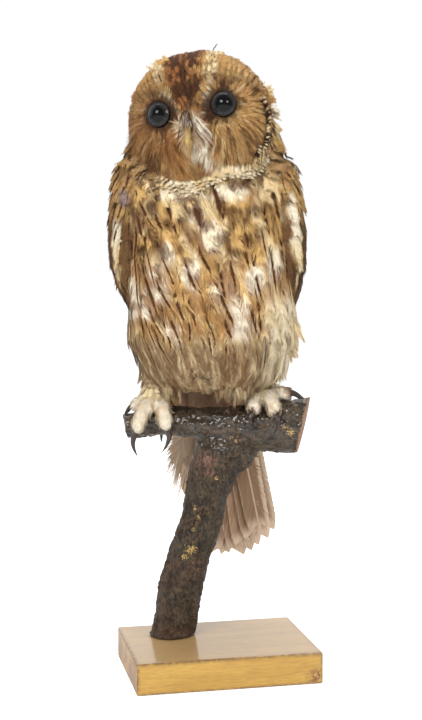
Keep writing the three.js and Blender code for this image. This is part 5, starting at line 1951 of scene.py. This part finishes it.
class OWL_OT_branch(bpy.types.Operator):
    """Roughens the branch into bark and faces its sawn end"""

    bl_idname = "owl.branch"
    bl_label = "Branch"

    def execute(self, context):
        branch = copy_nodes("bark_branch", "branch")
        apply_modifier(branch, "REMESH", mode="VOXEL", voxel_size=0.95 * MM)
        apply_modifier(branch, "SMOOTH", factor=0.5, iterations=3)
        mesh = branch.data
        points = to_bird(points_of(mesh))
        normals = np.empty(len(points) * 3, np.float32)
        mesh.vertices.foreach_get("normal", normals)
        normals = normals.reshape(-1, 3) @ MOUNT_TURN
        cut = np.array([math.cos(math.radians(9)), -math.sin(math.radians(9)), -math.sin(math.radians(12))])
        sawn = ease(0.72, 0.9, normals @ unit(cut)) * (points[:, 0] > 58)
        level = ease(26.5, 25, points[:, 2])
        grown = np.where(points[:, 0, None] * 0 + points[:, 2:3] < 165, points * [1, 1, 0.4], points * [0.4, 1, 1])
        relief = 1.6 * (patches(grown, 9, 201) - 0.5) + 1.5 * (patches(grown, 3.4, 202) - 0.5)
        relief += 0.9 * (patches(points, 1.9, 203) - 0.5) - 0.8
        points += normals * (relief * (1 - sawn) * (1 - level))[:, None]
        for name, spots in (("lichen", LICHEN), ("scar", SCARS)):
            point_attribute(mesh, name, blotches(points[:, 0], points[:, 2], spots) * (points[:, 1] < 6))
        set_points(mesh, to_world(points))
        select_only(branch)
        bpy.ops.object.shade_smooth()
        finish_piece(branch, "bark", bark_material(), "branch")
        mesh.materials.append(cut_wood_material())
        faces = np.empty(len(mesh.polygons) * 4, np.int32)
        first = np.empty(len(mesh.polygons), np.int32)
        mesh.polygons.foreach_get("loop_start", first)
        corner = np.empty(len(mesh.loops), np.int32)
        mesh.loops.foreach_get("vertex_index", corner)
        mesh.polygons.foreach_set("material_index", (sawn[corner[first]] > 0.5).astype(np.int32))
        return {"FINISHED"}


class OWL_OT_block(bpy.types.Operator):
    """Makes the wooden block with its worn edges"""

    bl_idname = "owl.block"
    bl_label = "Block"

    def execute(self, context):
        low, high = (Vector(c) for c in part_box("base_block"))
        bpy.ops.object.select_all(action="DESELECT")
        bpy.ops.mesh.primitive_cube_add(size=1, location=(low + high) / 2, scale=high - low)
        block = context.object
        block.name = "wood_block"
        bpy.ops.object.transform_apply(location=True, rotation=True, scale=True)
        apply_modifier(block, "BEVEL", width=1.3 * MM, segments=4)

        def worn_rims():
            bpy.ops.mesh.select_all(action="DESELECT")
            bpy.ops.mesh.select_mode(type="FACE")
            shape = bmesh.from_edit_mesh(block.data)
            for face in shape.faces:
                face.select = face.calc_area() > 0.0015
            bmesh.update_edit_mesh(block.data)
            bpy.ops.mesh.inset(thickness=1.6 * MM, use_individual=True)
            bpy.ops.mesh.inset(thickness=0.6 * MM, use_individual=True)

        in_edit(block, worn_rims)
        points = points_of(block.data)
        margin = np.minimum(points - np.array(low), np.array(high) - points)
        second = np.sort(margin, axis=1)[:, 1]
        point_attribute(block.data, "edge", ease(2.2 * MM, 0.5 * MM, second))
        select_only(block)
        bpy.ops.object.shade_smooth_by_angle(angle=math.radians(40))
        finish_piece(block, "base_wood", block_material(), "base_block")
        return {"FINISHED"}


# ---------------------------------------------------------------- stage
CAMERA_AT = Vector((-0.2113, -0.9689, 0.3205))
CAMERA_YAW = 0.210
CAMERA_PITCH = 0.082


def area_light(name, power, size, at, towards, tint=(1, 1, 1)):
    data = bpy.data.lights.new(name, "AREA")
    data.energy, data.size, data.color = power, size, tint
    light = bpy.data.objects.new(name, data)
    light.location = at
    light.rotation_euler = (Vector(towards) - Vector(at)).to_track_quat("-Z", "Y").to_euler()
    bpy.context.scene.collection.objects.link(light)


class OWL_OT_stage(bpy.types.Operator):
    """Sets the camera, the soft light and the pale floor"""

    bl_idname = "owl.stage"
    bl_label = "Stage"

    def execute(self, context):
        stage = context.scene.owl_stage
        data = bpy.data.cameras.new("camera")
        data.lens, data.sensor_width, data.sensor_fit = stage.lens, 36, "AUTO"
        data.clip_start = 0.01
        camera = bpy.data.objects.new("camera", data)
        ahead = Vector((
            math.sin(CAMERA_YAW) * math.cos(CAMERA_PITCH), math.cos(CAMERA_YAW) * math.cos(CAMERA_PITCH),
            -math.sin(CAMERA_PITCH),
        ))
        camera.location = CAMERA_AT
        camera.rotation_euler = ahead.to_track_quat("-Z", "Y").to_euler()
        context.scene.collection.objects.link(camera)
        context.scene.camera = camera

        area_light("key light", stage.key, 0.8, (-0.95, -1.15, 1.25), (0, 0, 0.28))
        area_light("fill light", stage.fill, 0.55, (0.95, -1.2, 1.05), (0, 0, 0.25))
        area_light("top light", stage.fill, 1.0, (0.1, 0.5, 1.6), (0, 0, 0.2))
        world = bpy.data.worlds.new("surround")
        context.scene.world = world
        world.use_nodes = True
        graph = Graph(world.node_tree)
        seen = graph.add("LightPath")
        mirrored = seen.node.outputs[3]
        strength = graph.math("MULTIPLY_ADD", seen, 1.02 - stage.sky, stage.sky)
        ahead_of = graph.add("SeparateXYZ", graph.add("NewGeometry")).node.outputs[1]
        backdrop = graph.span(ahead_of, -0.1, 0.5, 0.30 - stage.sky, 0.9 - stage.sky)
        strength = graph.math("MULTIPLY_ADD", mirrored, backdrop, strength)
        graph.put(world.node_tree.nodes["Background"].inputs[0], (1, 1, 1))
        graph.put(world.node_tree.nodes["Background"].inputs[1], strength)

        bpy.ops.object.select_all(action="DESELECT")
        bpy.ops.mesh.primitive_plane_add(size=12, location=(0, 0, -0.0003))
        floor = context.object
        floor.name = "floor"
        paper = principled("Pale floor", lambda g, shader: set_shader(
            g, shader, Base_Color=(0.93, 0.93, 0.93), Roughness=0.9, Specular_IOR_Level=0.1,
            Emission_Color=(1, 1, 1), Emission_Strength=g.math("MULTIPLY", g.add("LightPath"), 0.7)))
        floor.data.materials.append(paper)
        context.scene.view_settings.view_transform = "Standard"
        return {"FINISHED"}


STEPS = [
    OWL_OT_stage, OWL_OT_skin, OWL_OT_eyes, OWL_OT_bill, OWL_OT_claws, OWL_OT_head_coat,
    OWL_OT_body_coat, OWL_OT_wing_coat, OWL_OT_leg_coat, OWL_OT_tail, OWL_OT_primaries,
    OWL_OT_branch, OWL_OT_block,
]


class OWL_PT_panel(bpy.types.Panel):
    """The owl's pieces, in the order they are made"""

    bl_idname = "OWL_PT_panel"
    bl_label = "Mounted tawny owl"
    bl_space_type = "VIEW_3D"
    bl_region_type = "UI"
    bl_category = "Owl"

    def draw(self, context):
        for step in STEPS:
            self.layout.operator(step.bl_idname)
        for group in (context.scene.owl_coat, context.scene.owl_colours, context.scene.owl_stage):
            box = self.layout.box()
            for key in group.__annotations__:
                box.prop(group, key)


GROUPS = {"owl_colours": OwlColours, "owl_coat": OwlCoat, "owl_stage": OwlStage}


def register():
    for cls in (*GROUPS.values(), *STEPS, OWL_PT_panel):
        bpy.utils.register_class(cls)
    for name, group in GROUPS.items():
        setattr(bpy.types.Scene, name, PointerProperty(type=group))


def unregister():
    for name in GROUPS:
        delattr(bpy.types.Scene, name)
    for cls in reversed((*GROUPS.values(), *STEPS, OWL_PT_panel)):
        bpy.utils.unregister_class(cls)


def main():
    register()
    feather_group()
    for step in STEPS:
        family, name = step.bl_idname.split(".")
        getattr(getattr(bpy.ops, family), name)()


if __name__ == "__main__":
    main()
